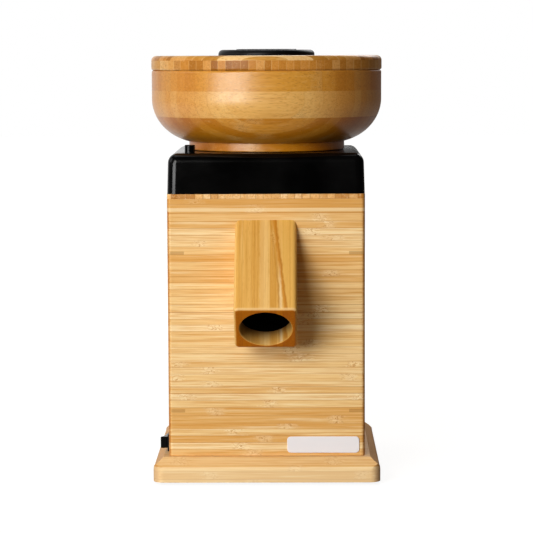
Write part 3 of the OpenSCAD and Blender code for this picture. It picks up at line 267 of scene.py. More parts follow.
def bamboo(name, look):
    # laminated bamboo, planed and oiled: strips glued side by side, fibres along them, knuckles across them
    material, tree, surface, spot = startMaterial(name, {"IOR": 1.45, "Specular IOR Level": look["shine"]})
    facing = addNode(tree, "TexCoord")["Normal"]
    if "turn" in look:
        facing = addNode(tree, "Mapping", {"Vector": facing, "Rotation": look["turn"]})[0]
        spot = addNode(tree, "Mapping", {
            "Vector": spot, "Rotation": look["turn"], "Location": look["shift"]})[0]
    axes = addNode(tree, "SeparateXYZ", {0: spot})
    along, across, layer = (axes[look[key]] for key in ("along", "across", "layer"))
    facing = addNode(tree, "SeparateXYZ", {0: facing})
    end = addNode(tree, "Math", {0: facing[look["along"]]}, operation="ABSOLUTE")[0]
    if "crossedBelow" in look:  # a lower ply whose grain runs the other way
        below = addNode(tree, "Math", {0: layer, 1: look["crossedBelow"]}, operation="LESS_THAN")[0]
        sideways = addNode(tree, "Math", {0: facing[look["across"]]}, operation="ABSOLUTE")[0]
        end = addNode(tree, "Mix", {0: below, 2: end, 3: sideways})[0]
        along, across = (addNode(tree, "Mix", {0: below, 2: a, 3: b})[0]
                         for a, b in ((along, across), (across, along)))

    # strips side by side, and plies one over the other
    # a ply is: the height that it starts at, its tone, its first strip, and how far out the last seam lies
    row = addNode(tree, "Math", {0: across, 1: 1 / look["strip"], 2: look["seed"]},
                  operation="MULTIPLY_ADD")[0]
    tone = look["tone"]
    for level, lift, start, reach in look.get("plies", []):
        above = addNode(tree, "Math", {0: layer, 1: level}, operation="GREATER_THAN")[0]
        kept = addNode(tree, "Clamp", {0: across, 1: -reach, 2: reach})[0]
        there = addNode(tree, "Math", {0: kept, 1: 1 / look["strip"], 2: start},
                        operation="MULTIPLY_ADD")[0]
        row = addNode(tree, "Mix", {0: above, 2: row, 3: there})[0]
        tone = addNode(tree, "Mix", {0: above, 2: tone, 3: lift})[0]
    strip = addNode(tree, "TexVoronoi", {"W": row, "Randomness": look["uneven"], "Scale": 1.0},
                    voronoi_dimensions="1D")["Color"]
    chance = addNode(tree, "SeparateColor", {0: strip})
    edge = addNode(tree, "TexVoronoi", {"W": row, "Randomness": look["uneven"], "Scale": 1.0},
                   voronoi_dimensions="1D", feature="DISTANCE_TO_EDGE")["Distance"]
    tone = addNode(tree, "Math", {0: chance[2], 1: look["spread"], 2: tone}, operation="MULTIPLY_ADD")[0]
    offset = addNode(tree, "VectorMath", {0: strip, "Scale": 90.0}, operation="SCALE")[0]

    # knuckles: one every so often along a strip, with rippled fibres for a centimetre round them
    strands = addNode(tree, "CombineXYZ", {0: along, 1: across, 2: layer})[0]
    rippleAt = addNode(tree, "VectorMath", {0: strands, 1: (0.16, 0.34, 0.34), 2: offset},
                       operation="MULTIPLY_ADD")[0]
    ripple = addNode(tree, "TexNoise", {"Vector": rippleAt, "Scale": 1.0, "Detail": 2.0})[0]
    ripple = addNode(tree, "Math", {0: ripple, 1: 0.5}, operation="SUBTRACT")[0]
    pitch = look["knuckles"]
    turn = addNode(tree, "Math", {0: along, 1: 1 / pitch, 2: chance[0]}, operation="MULTIPLY_ADD")[0]
    turn = addNode(tree, "Math", {0: turn}, operation="FRACT")[0]
    turn = addNode(tree, "Math", {0: turn, 1: 0.5}, operation="SUBTRACT")[0]
    turn = addNode(tree, "Math", {0: turn, 1: pitch}, operation="MULTIPLY")[0]
    away = addNode(tree, "Math", {0: ripple, 1: 20.0, 2: turn}, operation="MULTIPLY_ADD")[0]
    away = addNode(tree, "Math", {0: away}, operation="ABSOLUTE")[0]
    near = addNode(tree, "MapRange", {0: away, 1: 1.0, 2: 11.0, 3: 1.0, 4: 0.0},
                   interpolation_type="SMOOTHSTEP")[0]
    sway = addNode(tree, "Math", {0: near, 1: ripple}, operation="MULTIPLY")[0]
    wavy = addNode(tree, "Math", {0: sway, 1: 7.0, 2: across}, operation="MULTIPLY_ADD")[0]
    strands = addNode(tree, "CombineXYZ", {0: along, 1: wavy, 2: layer})[0]

    # streaks two or three millimetres wide, fibres under one, and the bundles that show as dots on end grain
    wide, thin, curled, dots = (
        addNode(tree, "VectorMath", {0: strands, 1: size, 2: offset}, operation="MULTIPLY_ADD")[0]
        for size in ((0.012, 0.5, 0.5), (0.028, 1.7, 1.7), (0.17, 0.62, 0.62), (0.11, 0.85, 0.85)))
    streak = addNode(tree, "TexNoise", {"Vector": wide, "Scale": 1.0, "Detail": 3.0, "Roughness": 0.6})[0]
    fibre = addNode(tree, "TexNoise", {"Vector": thin, "Scale": 1.0, "Detail": 2.0, "Roughness": 0.5})[0]
    curl = addNode(tree, "TexNoise", {"Vector": curled, "Scale": 1.0, "Detail": 1.0})[0]
    bundle = addNode(tree, "TexVoronoi", {"Vector": dots, "Scale": 1.0})["Distance"]

    pale, middle, deep = look["colours"]
    colour = addNode(tree, "ValToRGB", {0: tone}, stops=[(0.0, deep), (0.5, middle), (1.0, pale)])[0]
    curl = addNode(tree, "Math", {0: curl, 1: 0.5}, operation="SUBTRACT")[0]
    curl = addNode(tree, "Math", {0: curl}, operation="ABSOLUTE")[0]
    mark = addNode(tree, "MapRange", {0: curl, 1: 0.008, 2: 0.036, 3: 1.0, 4: 0.0})[0]
    mark = addNode(tree, "Math", {0: mark, 1: near}, operation="MULTIPLY")[0]
    for value, low, high, strength, code in (
            (streak, 0.5, 0.7, look["streaks"], look["streak"]),
            (streak, 0.45, 0.3, look["lights"], pale),
            (near, 0.0, 1.0, look["bleach"], pale),
            (fibre, 0.5, 0.7, look["fibres"], look["streak"]),
            (bundle, 0.36, 0.1, look["bundles"], look["line"]),
            (mark, 0.0, 1.0, look["knots"], look["line"])):
        share = addNode(tree, "MapRange", {0: value, 1: low, 2: high, 3: 0.0, 4: strength})[0]
        colour = addNode(tree, "Mix", {0: share, 6: colour, 7: linear(code)}, data_type="RGBA")[2]
    glue = addNode(tree, "MapRange", {0: edge, 1: 0.0, 2: look["glueWidth"] / look["strip"],
                                      3: look["glue"], 4: 0.0})[0]
    glue = addNode(tree, "Math", {0: glue, 1: chance[1]}, operation="MULTIPLY")[0]
    colour = addNode(tree, "Mix", {0: glue, 6: colour, 7: linear(look["seam"])}, data_type="RGBA")[2]
    endGrain = addNode(tree, "MapRange", {0: end, 1: look["endFrom"], 2: look["endFrom"] + 0.3, 3: 0.0,
                                      4: look["endGrain"]})[0]
    colour = addNode(tree, "Mix", {0: endGrain, 6: colour, 7: linear(look["end"])}, data_type="RGBA",
                     blend_type="MULTIPLY")[2]

    # ribbons: single coloured streaks that lean across the strips, from one place along them
    flank = addNode(tree, "Math", {0: end, 1: 0.5}, operation="LESS_THAN")[0]
    for at, lean, width, start, strength, code in look.get("ribbons", []):
        gap = addNode(tree, "Math", {0: along, 1: -lean, 2: across}, operation="MULTIPLY_ADD")[0]
        gap = addNode(tree, "Math", {0: ripple, 1: 2.4, 2: gap}, operation="MULTIPLY_ADD")[0]
        gap = addNode(tree, "Math", {0: gap, 1: at}, operation="SUBTRACT")[0]
        gap = addNode(tree, "Math", {0: gap}, operation="ABSOLUTE")[0]
        share = addNode(tree, "MapRange", {0: gap, 1: width / 2 - 0.8, 2: width / 2 + 0.8,
                                           3: strength, 4: 0.0})[0]
        begun = addNode(tree, "MapRange", {0: along, 1: start - 10, 2: start + 20, 3: 0.0, 4: flank})[0]
        share = addNode(tree, "Math", {0: share, 1: begun}, operation="MULTIPLY")[0]
        colour = addNode(tree, "Mix", {0: share, 6: colour, 7: linear(code)}, data_type="RGBA")[2]
    # pieces let into a strip, and bands of painted light and shade, each given by its middle and half its
    # size along and across
    for alongAt, alongHalf, acrossAt, acrossHalf, strength, code in look.get("patchesAndPaintedLight", []):
        inside = addNode(tree, "Math", {0: along, 1: alongAt, 2: alongHalf}, operation="COMPARE")[0]
        between = addNode(tree, "Math", {0: across, 1: acrossAt, 2: acrossHalf}, operation="COMPARE")[0]
        share = addNode(tree, "Math", {0: inside, 1: between}, operation="MULTIPLY")[0]
        share = addNode(tree, "Math", {0: share, 1: strength}, operation="MULTIPLY")[0]
        colour = addNode(tree, "Mix", {0: share, 6: colour, 7: linear(code)}, data_type="RGBA")[2]
    # painted highlight: the rounded edges of the end face, on the side that lies this far out, drawn pale
    # where a lamp's highlight falls
    for out, strength, code in look.get("wearAndHighlight", []):
        side = addNode(tree, "Math", {0: layer, 1: out}, operation="GREATER_THAN")[0]
        share = addNode(tree, "MapRange", {0: end, 1: 0.1, 2: 0.45, 3: 0.0, 4: side})[0]
        inner = addNode(tree, "MapRange", {0: end, 1: 0.75, 2: 0.97, 3: strength, 4: 0.0})[0]
        share = addNode(tree, "Math", {0: share, 1: inner}, operation="MULTIPLY")[0]
        colour = addNode(tree, "Mix", {0: share, 6: colour, 7: linear(code)}, data_type="RGBA")[2]
    if "boreShade" in look:  # painted shade: the wall of a bore drawn darker the further in, from one place along it to another
        radius, inside, outside, code = look["boreShade"]
        out = addNode(tree, "VectorMath", {0: addNode(tree, "CombineXYZ", {0: across, 1: layer})[0]},
                      operation="LENGTH")["Value"]
        wall = addNode(tree, "Math", {0: out, 1: radius}, operation="LESS_THAN")[0]
        share = addNode(tree, "MapRange", {0: along, 1: inside, 2: outside, 3: 0.85, 4: 0.25})[0]
        share = addNode(tree, "Math", {0: share, 1: wall}, operation="MULTIPLY")[0]
        colour = addNode(tree, "Mix", {0: share, 6: colour, 7: linear(code)}, data_type="RGBA")[2]
    tree.links.new(colour, surface["Base Color"])

    rough = addNode(tree, "MapRange", {0: fibre, 1: 0.3, 2: 0.7, 3: look["rough"],
                                       4: look["rough"] + 0.12})[0]
    tree.links.new(rough, surface["Roughness"])
    height = addNode(tree, "Math", {0: glue, 1: -1.5, 2: fibre}, operation="MULTIPLY_ADD")[0]
    bump = addNode(tree, "Bump", {"Strength": 0.25, "Distance": 0.12 * mm, "Height": height})[0]
    tree.links.new(bump, surface["Normal"])
    return material


# honey-coloured bamboo of the body: pale strips lying level, caramel lines between them
# lengths are in mm: strip is a strip's width, glueWidth a seam's, and knuckles how far apart the knuckles lie
bodyLook = dict(
    along=0, across=2, layer=1, strip=6.0, uneven=0.8, seed=3.1, tone=0.1, spread=0.68,
    colours=("#FDEABE", "#F2CE90", "#DCA252"), streak="#D2923C", streaks=0.75, lights=0.5, fibres=0.55,
    line="#C07C28", seam="#B4701E", glue=1.0, glueWidth=0.5, end="#D2B08A", endGrain=0.9, endFrom=0.35,
    bundles=0.06, knuckles=150, knots=0.75, bleach=0.33, rough=0.42, shine=0.2)
frontPatches = [(x, 6.0, z, 1.45, 0.55, "#B08040") for x in (-75.8, 76.4) for z in (62.8, 198.2)]
frontPatches += [(0, 90, 240.4, 3.9, 0.5, "#D49A4A"), (0, 90, 235.0, 1.5, 0.5, "#FAE6B8")]
frontBamboo = bamboo("laminated_bamboo_front", dict(bodyLook, patchesAndPaintedLight=frontPatches))
backBamboo = bamboo("laminated_bamboo_back", dict(bodyLook, seed=41.7))
sideBamboo = bamboo("laminated_bamboo_side", dict(bodyLook, along=1, layer=0, seed=11.4))
boardBamboo = bamboo("laminated_bamboo_board", dict(
    bodyLook, along=1, across=0, layer=2, strip=6.6, uneven=0.6, seed=23.0, spread=0.85, tone=0.0,
    bundles=0.25, colours=("#FFEDC8", "#F2C98E", "#B47C3A"), end="#F8E6C4", endGrain=0.6, seam="#A8692A",
    glueWidth=0.7))
# painted light: the plinth below its bevel drawn paler, for light bounced up from the floor; painted shade:
# its bevel drawn darker
basePaintedLight = [(0, 100, 9.5, 6.8, 0.45, "#FFE6B8"), (0, 100, 20.2, 3.8, 0.5, "#DCA45C")]
baseBamboo = bamboo("laminated_bamboo_base", dict(
    bodyLook, seed=57.3, strip=7.5, tone=0.2, spread=0.6, knuckles=130, patchesAndPaintedLight=basePaintedLight))
# carbonised bamboo of the turned bowl and lid: steamed to amber, sanded smooth and oiled
turnedLook = dict(
    along=0, across=1, layer=2, strip=7.2, uneven=0.0, seed=5.2, tone=0.3, spread=0.3,
    colours=("#EEC884", "#DA9E40", "#B87408"), streak="#B8741A", streaks=0.35, lights=0.2, fibres=0.3,
    line="#8A5410", seam="#B4741E", glue=0.45, glueWidth=0.4, end="#DDB060", endGrain=0.5, endFrom=0.35,
    bundles=0.4, knuckles=130, knots=0.6, bleach=0.25, rough=0.27, shine=0.68)
bowlBamboo = bamboo("turned_bamboo_bowl", dict(turnedLook, plies=[
    (200, -0.3, 9.5, 200), (290.2, 0.0, 20.61, 200), (312.5, 0.52, 33.76, 200), (335.0, 0.35, 45.85, 92.4)]))
lidBamboo = bamboo("turned_bamboo_lid", dict(
    turnedLook, crossedBelow=360.9, plies=[(200, 0.0, 15.9, 200), (360.9, 0.15, 63.2, 200)], strip=6.4,
    uneven=0.4, colours=("#F6D49A", "#D8A04C", "#A06C24"), spread=0.7, seam="#EBC98C", glue=0.9,
    glueWidth=0.6, shine=0.2))
# planed and left raw where it doesn't show: the same wood, duller
innerBamboo = bamboo("raw_bamboo_inner", dict(bodyLook, along=2, across=0, layer=1, seed=71.0, rough=0.6))
print("bamboo materials made")


# plastics, metals, stone and felt

def plastic(name, code, rough, grain, depth):
    # moulded plastic; grain is the size of its fine unevenness in mm and depth how far that stands out
    material, tree, surface, spot = startMaterial(name, {
        "Base Color": code, "IOR": 1.45, "Specular IOR Level": 0.22, "Roughness": rough})
    spotScaled = addNode(tree, "VectorMath", {0: spot, "Scale": 1 / grain}, operation="SCALE")[0]
    skin = addNode(tree, "TexNoise", {"Vector": spotScaled, "Scale": 1.0, "Detail": 3.0})[0]
    wear = addNode(tree, "TexNoise", {"Vector": spot, "Scale": 0.03, "Detail": 4.0})[0]
    wearAndHighlight = addNode(tree, "MapRange", {0: wear, 1: 0.35, 2: 0.7, 3: 0.0, 4: 0.012})[0]
    colour = addNode(tree, "Mix", {0: wearAndHighlight, 6: linear(code), 7: linear("#6E6E70")}, data_type="RGBA")[2]
    roughness = addNode(tree, "MapRange", {0: wear, 1: 0.35, 2: 0.7, 3: rough, 4: rough + 0.06})[0]
    bump = addNode(tree, "Bump", {"Strength": 0.15, "Distance": depth * mm, "Height": skin})[0]
    tree.links.new(colour, surface["Base Color"])
    tree.links.new(roughness, surface["Roughness"])
    tree.links.new(bump, surface["Normal"])
    return material


def metal(name, code, rough, stretch, contrast):
    # bare metal; stretch is the size in mm of its marks along X, Y and Z
    material, tree, surface, spot = startMaterial(name, {
        "Base Color": code, "Metallic": 1.0, "Roughness": rough})
    marks = addNode(tree, "VectorMath", {0: spot, 1: [1 / s for s in stretch]}, operation="MULTIPLY")[0]
    marks = addNode(tree, "TexNoise", {"Vector": marks, "Scale": 1.0, "Detail": 4.0})[0]
    shade = addNode(tree, "MapRange", {0: marks, 1: 0.3, 2: 0.7, 3: 1 - contrast, 4: 1.0})[0]
    colour = addNode(tree, "Mix", {0: shade, 6: linear("#3A3B3E"), 7: linear(code)}, data_type="RGBA")[2]
    roughness = addNode(tree, "MapRange", {0: marks, 1: 0.3, 2: 0.7, 3: rough + 0.1, 4: rough})[0]
    bump = addNode(tree, "Bump", {"Strength": 0.2, "Distance": 0.05 * mm, "Height": marks})[0]
    tree.links.new(colour, surface["Base Color"])
    tree.links.new(roughness, surface["Roughness"])
    tree.links.new(bump, surface["Normal"])
    return material


# deep black with clear, slightly wavy highlights
glossAbs = plastic("polished_abs_black", "#010101", 0.15, 9.0, 0.02)
# black with broad soft highlights
satinAbs = plastic("moulded_abs_satin", "#040404", 0.42, 0.9, 0.04)
# dark grey with a fine moulded grain that dulls it
gritPolyamide = plastic("moulded_polyamide", "#1C1C1E", 0.5, 0.7, 0.06)
# dull near-black, with hardly a highlight
footRubber = plastic("moulded_rubber", "#161616", 0.75, 0.8, 0.08)
# smooth pale enamel on a thin plate
whitePlate = plastic("enamelled_plate", "#EFEDF1", 0.3, 1.2, 0.01)
# dark, drawn smooth along the lead
leadPvc = plastic("extruded_pvc", "#1A1A1B", 0.4, 1.5, 0.03)
# cream, with a soft sheen
creamPolyamide = plastic("cream_polyamide", "#DDD8CA", 0.5, 0.8, 0.04)
# dark sheet under a fine orange peel
powderCoat = plastic("powder_coated_steel", "#17181A", 0.55, 0.6, 0.08)
# pale grey with a faint mottle
zincPlate = metal("zinc_plated_steel", "#B9BBC0", 0.3, (1.2, 1.2, 1.2), 0.35)
# bright, with fine marks that run round the shaft
groundSteel = metal("ground_steel", "#C6C8CC", 0.2, (6.0, 6.0, 0.5), 0.25)
# soft grey skin from the mould
castAlloy = metal("cast_aluminium", "#B4B6B8", 0.45, (1.0, 1.0, 1.0), 0.3)
# fine level lines of stacked sheets, drawn 0.9 mm thick because the real ones are too thin to show
laminatedSteel = metal("laminated_steel", "#8E9196", 0.42, (60.0, 60.0, 0.9), 0.6)
# red-brown wire under clear enamel, its turns showing as lines
copperWire = metal("enamelled_copper", "#B4622C", 0.28, (1.1, 1.1, 5.0), 0.5)
# bright can with long marks down its wall
drawnCan = metal("drawn_aluminium", "#CFD1D4", 0.3, (0.8, 0.8, 20.0), 0.2)
# yellow metal, smooth
brass = metal("brass_contact", "#C9A04A", 0.28, (2.0, 2.0, 2.0), 0.2)


def millstone(name):
    # cast corundum stone: cream ground with darker grit, rough from dressing
    material, tree, surface, spot = startMaterial(name, {"Roughness": 0.85})
    grit = addNode(tree, "TexVoronoi", {"Vector": spot, "Scale": 0.7})["Color"]
    grit = addNode(tree, "SeparateColor", {0: grit})[0]
    colour = addNode(tree, "ValToRGB", {0: grit}, stops=[
        (0.0, "#9C9284"), (0.35, "#CFC7B6"), (1.0, "#E4DDCF")])[0]
    pits = addNode(tree, "TexNoise", {"Vector": spot, "Scale": 0.9, "Detail": 5.0})[0]
    bump = addNode(tree, "Bump", {"Strength": 0.6, "Distance": 0.3 * mm, "Height": pits})[0]
    tree.links.new(colour, surface["Base Color"])
    tree.links.new(bump, surface["Normal"])
    return material


def pressedFelt(name):
    # grey wool felt: soft, with short crossing hairs
    material, tree, surface, spot = startMaterial(name, {"Roughness": 0.95, "Sheen Weight": 0.4})
    hairs = addNode(tree, "TexNoise", {"Vector": spot, "Scale": 1.6, "Detail": 6.0, "Distortion": 2.0})[0]
    colour = addNode(tree, "ValToRGB", {0: hairs}, stops=[(0.3, "#7B766C"), (0.7, "#A8A297")])[0]
    bump = addNode(tree, "Bump", {"Strength": 0.7, "Distance": 0.3 * mm, "Height": hairs})[0]
    tree.links.new(colour, surface["Base Color"])
    tree.links.new(bump, surface["Normal"])
    return material


stoneFinish = millstone("cast_corundum")
feltFinish = pressedFelt("pressed_felt")
print("other materials made")


# camera

view = dict(place=(0.02086, -1.8583, 0.36506), lens=141.84, turn=(84.26, 0.235, 0.64), sensor=36)
bpy.ops.object.camera_add(location=view["place"], rotation=[math.radians(a) for a in view["turn"]])
camera = bpy.context.object
camera.data.lens = view["lens"]
camera.data.sensor_width = view["sensor"]
bpy.context.scene.camera = camera


# hopper bowl and feeding throat

bowl = dict(radius=101, mouth=91.5, rim=352.5, curveTop=327.6, bottom=288.8, curveWidth=44,
            footRadius=68.4, footBottom=283.2, ringHole=56.2, ringTop=289.5,
            innerTop=330.6, floor=298.5, innerWidth=40, throatHole=20.2, flangeHole=32.2, flangeSeat=296,
            curveFrom=16, outerSteps=24, innerSteps=20)
outerCurve = []
for step in range(bowl["outerSteps"] + 1):
    turned = math.radians(bowl["curveFrom"] + step * (90 - bowl["curveFrom"]) / bowl["outerSteps"])
    outerCurve.append((bowl["radius"] - bowl["curveWidth"] * (1 - math.sin(turned)),
                       bowl["curveTop"] - (bowl["curveTop"] - bowl["bottom"]) * math.cos(turned)))
innerCurve = []
for step in range(bowl["innerSteps"] + 1):
    turned = math.radians(90 - step * 90 / bowl["innerSteps"])
    innerCurve.append((bowl["mouth"] - bowl["innerWidth"] * (1 - math.sin(turned)),
                       bowl["innerTop"] - (bowl["innerTop"] - bowl["floor"]) * math.cos(turned)))
hopperBowl = addTurned("hopper_bowl_turned", [
    (bowl["ringHole"], bowl["footBottom"], 0.5), (bowl["footRadius"], bowl["footBottom"], 0.8),
    (bowl["footRadius"], outerCurve[0][1] - 0.1), *outerCurve,
    (bowl["radius"], bowl["rim"], 2.0), (bowl["mouth"], bowl["rim"], 1.5), *innerCurve,
    (bowl["flangeHole"], bowl["floor"], 0.4), (bowl["flangeHole"], bowl["flangeSeat"]),
    (bowl["throatHole"], bowl["flangeSeat"]), (bowl["throatHole"], bowl["ringTop"]),
    (bowl["ringHole"], bowl["ringTop"])])
fit(hopperBowl, bowlBamboo, "bamboo", "hopper", "hopper_bowl")

throat = dict(radius=17.5, wall=2.5, low=266.0, flange=32, top=298.5, flangeUnder=296)
feedThroat = addTurned("feed_throat", [
    (throat["radius"], throat["low"], 0.4), (throat["radius"] + throat["wall"], throat["low"], 0.8),
    (throat["radius"] + throat["wall"], throat["flangeUnder"]), (throat["flange"], throat["flangeUnder"]),
    (throat["flange"], throat["top"], 0.6), (throat["radius"] + 4, throat["top"], 1.0),
    (throat["radius"], throat["top"] - 4, 3.0)], steps=96)
fit(feedThroat, satinAbs, "abs_satin", "hopper", "hopper_throat")
print("hopper made")


# lid and its knob

lid = dict(radius=101.3, under=352.5, top=365.06, edge=4.5, plugRadius=90.9, plugUnder=349.0,
           knobRadius=42.3, knobTop=370.06, knobEdge=4.0, plateRadius=26.5, plateSeat=369.46, plateTop=370.66,
           plateGap=0.15, screwCircle=21.15, screwSeat=352.5, counterbore=4.5)
screwSpots = [(lid["screwCircle"] * math.cos(math.radians(a)), lid["screwCircle"] * math.sin(math.radians(a)))
              for a in (30, 150, 270)]
lidBoard = addTurned("lid_disc", [
    (0, lid["plugUnder"]), (lid["plugRadius"], lid["plugUnder"], 0.9), (lid["plugRadius"], lid["under"]),
    (lid["radius"], lid["under"], 1.8), (lid["radius"], lid["top"], lid["edge"]), (0, lid["top"])])
for spot in screwSpots:
    combine(lidBoard, addRod("counterbore", lid["counterbore"], lid["plugUnder"] - 1, lid["screwSeat"], spot))
fit(lidBoard, lidBamboo, "bamboo", "lid", "lid_board")
lidKnob = addTurned("lid_knob_puck", [
    (0, lid["top"]), (lid["knobRadius"], lid["top"]), (lid["knobRadius"], lid["knobTop"], lid["knobEdge"]),
    (lid["plateRadius"] + lid["plateGap"], lid["knobTop"], 0.3),
    (lid["plateRadius"] + lid["plateGap"], lid["plateSeat"]), (0, lid["plateSeat"])])
fit(lidKnob, satinAbs, "abs_satin", "lid", "lid_knob")
knobPlate = addTurned("lid_knob_disc", [
    (0, lid["plateSeat"]), (lid["plateRadius"], lid["plateSeat"]), (lid["plateRadius"], lid["plateTop"], 0.4),
    (0, lid["plateTop"])])
fit(knobPlate, glossAbs, "abs_gloss", "lid", "lid_knob_plate")
print("lid made")


# screws with a pan head and a cross recess, heads down

def addScrews(name, places, head, headHeight, seat, length):
    under = seat - headHeight
    screw = addTurned(name, [(0, under), (head, under, headHeight * 0.7), (head, seat), (2, seat),
                             (2, seat + length - 1.2), (0.8, seat + length), (0, seat + length)], steps=40)
    slot = head * 0.52
    for a, b in ((slot, 0.45), (0.45, slot)):
        combine(screw, addBox("recess", (-a, -b, under - 1), (a, b, under + headHeight * 0.6)))
    return copyTo(screw, [(x, y, 0) for x, y in places])


def corners(across):
    return [(x * across, y * across) for x, y in ((-1, -1), (1, -1), (1, 1), (-1, 1))]


lidScrew = dict(head=4.0, headHeight=2.4, seat=lid["screwSeat"], length=16.0)
lidScrews = addScrews("lid_screws", screwSpots, **lidScrew)
fit(lidScrews, zincPlate, "zinc", "lid", "lid_knob_screws")
ventScrewAt = 55
ventPlateScrew = dict(head=3.2, headHeight=1.6, seat=3.0, length=11.9)
ventPlateScrews = addScrews("vent_plate_screws", corners(ventScrewAt), **ventPlateScrew)
fit(ventPlateScrews, zincPlate, "zinc", "root", "bottom_plate_screws")
print("screws made")


# top housing, and the button with its spring

house = dict(half=84, low=248.4, top=282.7, draft=1.0, edge=8.0, wall=3.0, collarHole=56.3, collarWall=4.0,
             collarDown=9.7, bossX=67.0, bossY=39.95, bossRadius=4.5, screwHole=2.0, screwDepth=16,
             buttonX=-64.9, buttonY=-66.0, buttonHole=4.62, sleeve=9.0, sleeveDown=14, springRoom=7.0)
buttonAt = (house["buttonX"], house["buttonY"])
housing = addBox("housing_cover", (-house["half"], -house["half"], house["low"]),
                 (house["half"], house["half"], house["top"]))
selectWhere(housing, "FACE", lambda at, way: way.z > 0.9)
narrower = 1 - house["draft"] / house["half"]
bpy.ops.transform.resize(value=(narrower, narrower, 1), center_override=(0, 0, house["top"] * mm))
bpy.ops.object.mode_set(mode="OBJECT")
roundEdges(housing, house["edge"], 8, lambda at, way: abs(way.z) > 0.9 or at.z > house["top"] - 1)
selectWhere(housing, "FACE", lambda at, way: way.z < -0.9)
bpy.ops.mesh.delete(type="FACE")
bpy.ops.object.mode_set(mode="OBJECT")
applyStep(housing, "SOLIDIFY", thickness=house["wall"] * mm, offset=-1)
ceiling = house["top"] - house["wall"]
combine(housing, addRod("collar", house["collarHole"] + house["collarWall"], ceiling - house["collarDown"],
                        ceiling + 0.5, sides=144), "UNION")
combine(housing, addRod("sleeve", house["sleeve"], ceiling - house["sleeveDown"], ceiling + 0.5, buttonAt),
        "UNION")
for x in (-1, 1):
    for y in (-1, 1):
        spot = (x * house["bossX"], y * house["bossY"])
        boss = addRod("boss", house["bossRadius"], house["low"], ceiling + 0.5, spot, 32)
        combine(boss, addRod("hole", house["screwHole"], house["low"] - 1, house["low"] + house["screwDepth"],
                             spot, 32))
        combine(housing, boss, "UNION")
combine(housing, addRod("hopper_hole", house["collarHole"], house["low"] - 1, house["top"] + 1, sides=144))
combine(housing, addRod("button_hole", house["buttonHole"], house["low"] - 1, house["top"] + 1, buttonAt))
combine(housing, addRod("spring_room", house["springRoom"], house["low"] - 1, ceiling, buttonAt))
fit(housing, glossAbs, "abs_gloss", "root", "top_housing")

button = dict(radius=4.5, top=289.4, flange=6.4, flangeLow=277.2, flangeTop=279.4, stem=3.0, stemLow=254.4)
releaseButton = addTurned("release_pin", [
    (0, button["stemLow"]), (button["stem"], button["stemLow"], 0.5), (button["stem"], button["flangeLow"]),
    (button["flange"], button["flangeLow"], 0.4), (button["flange"], button["flangeTop"], 0.4),
    (button["radius"], button["flangeTop"]), (button["radius"], button["top"], 0.9),
    (button["radius"] - 1.3, button["top"], 0.6), (0, button["top"] - 0.35)], steps=64)
turnAndMove(releaseButton, 0, "Z", (*buttonAt, 0))
fit(releaseButton, glossAbs, "abs_gloss", "button", "release_button")

# the button's spring is wound wire; the real one shortens by the button's travel
coil = dict(radius=4.5, wire=0.5, turns=7, travel=4.0)
coilHeight = button["flangeLow"] - house["low"]
bpy.ops.object.select_all(action="DESELECT")
bpy.ops.mesh.primitive_circle_add(vertices=8, radius=coil["wire"] * mm, rotation=(math.pi / 2, 0, 0),
                                  location=Vector((coil["radius"], 0, house["low"] + coil["wire"])) * mm)
releaseCoil = bpy.context.object
releaseCoil.name = "release_coil"
bpy.ops.object.transform_apply()
applyStep(releaseCoil, "SCREW", steps=16, render_steps=16, iterations=coil["turns"],
          screw_offset=(coilHeight - 2 * coil["wire"]) * mm / coil["turns"])
bpy.ops.object.mode_set(mode="EDIT")
bpy.ops.mesh.select_all(action="SELECT")
bpy.ops.mesh.fill_holes(sides=0)
bpy.ops.mesh.select_all(action="SELECT")
bpy.ops.mesh.normals_make_consistent(inside=False)
bpy.ops.object.mode_set(mode="OBJECT")
turnAndMove(releaseCoil, 0, "Z", (*buttonAt, 0))
fit(releaseCoil, groundSteel, "steel", "root", "release_spring")
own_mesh(releaseCoil)
print("housing made")


# bamboo boards of the body

body = dict(half=84, low=23.7, panelTop=244.4, top=248.4, panel=12, corner=3.5, seam=0.3, plugGap=0.2,
            plugLow=236.4, chamberHole=57)
inner = body["half"] - body["panel"]


def addBoard(name, low, high, outerSide=None):
    # a board with its seams eased; outerSide is 1 or -1 where its corners at the back or front are the body's
    board = addBox(name, low, high)
    if outerSide:
        roundEdges(board, body["corner"], 6,
                   lambda at, way: abs(way.z) > 0.9 and at.y * outerSide > body["half"] - 1)
    return soften(board, body["seam"], 2)


spout = dict(width=52.4, length=70.3, axisHeight=189.25, slope=45, edge=4.0, endRound=2.7, bore=21.75,
             bareWood=14, chuteHole=23.15, blockHole=22.95, mouth=1.2)
spoutTurn = 90 + spout["slope"]
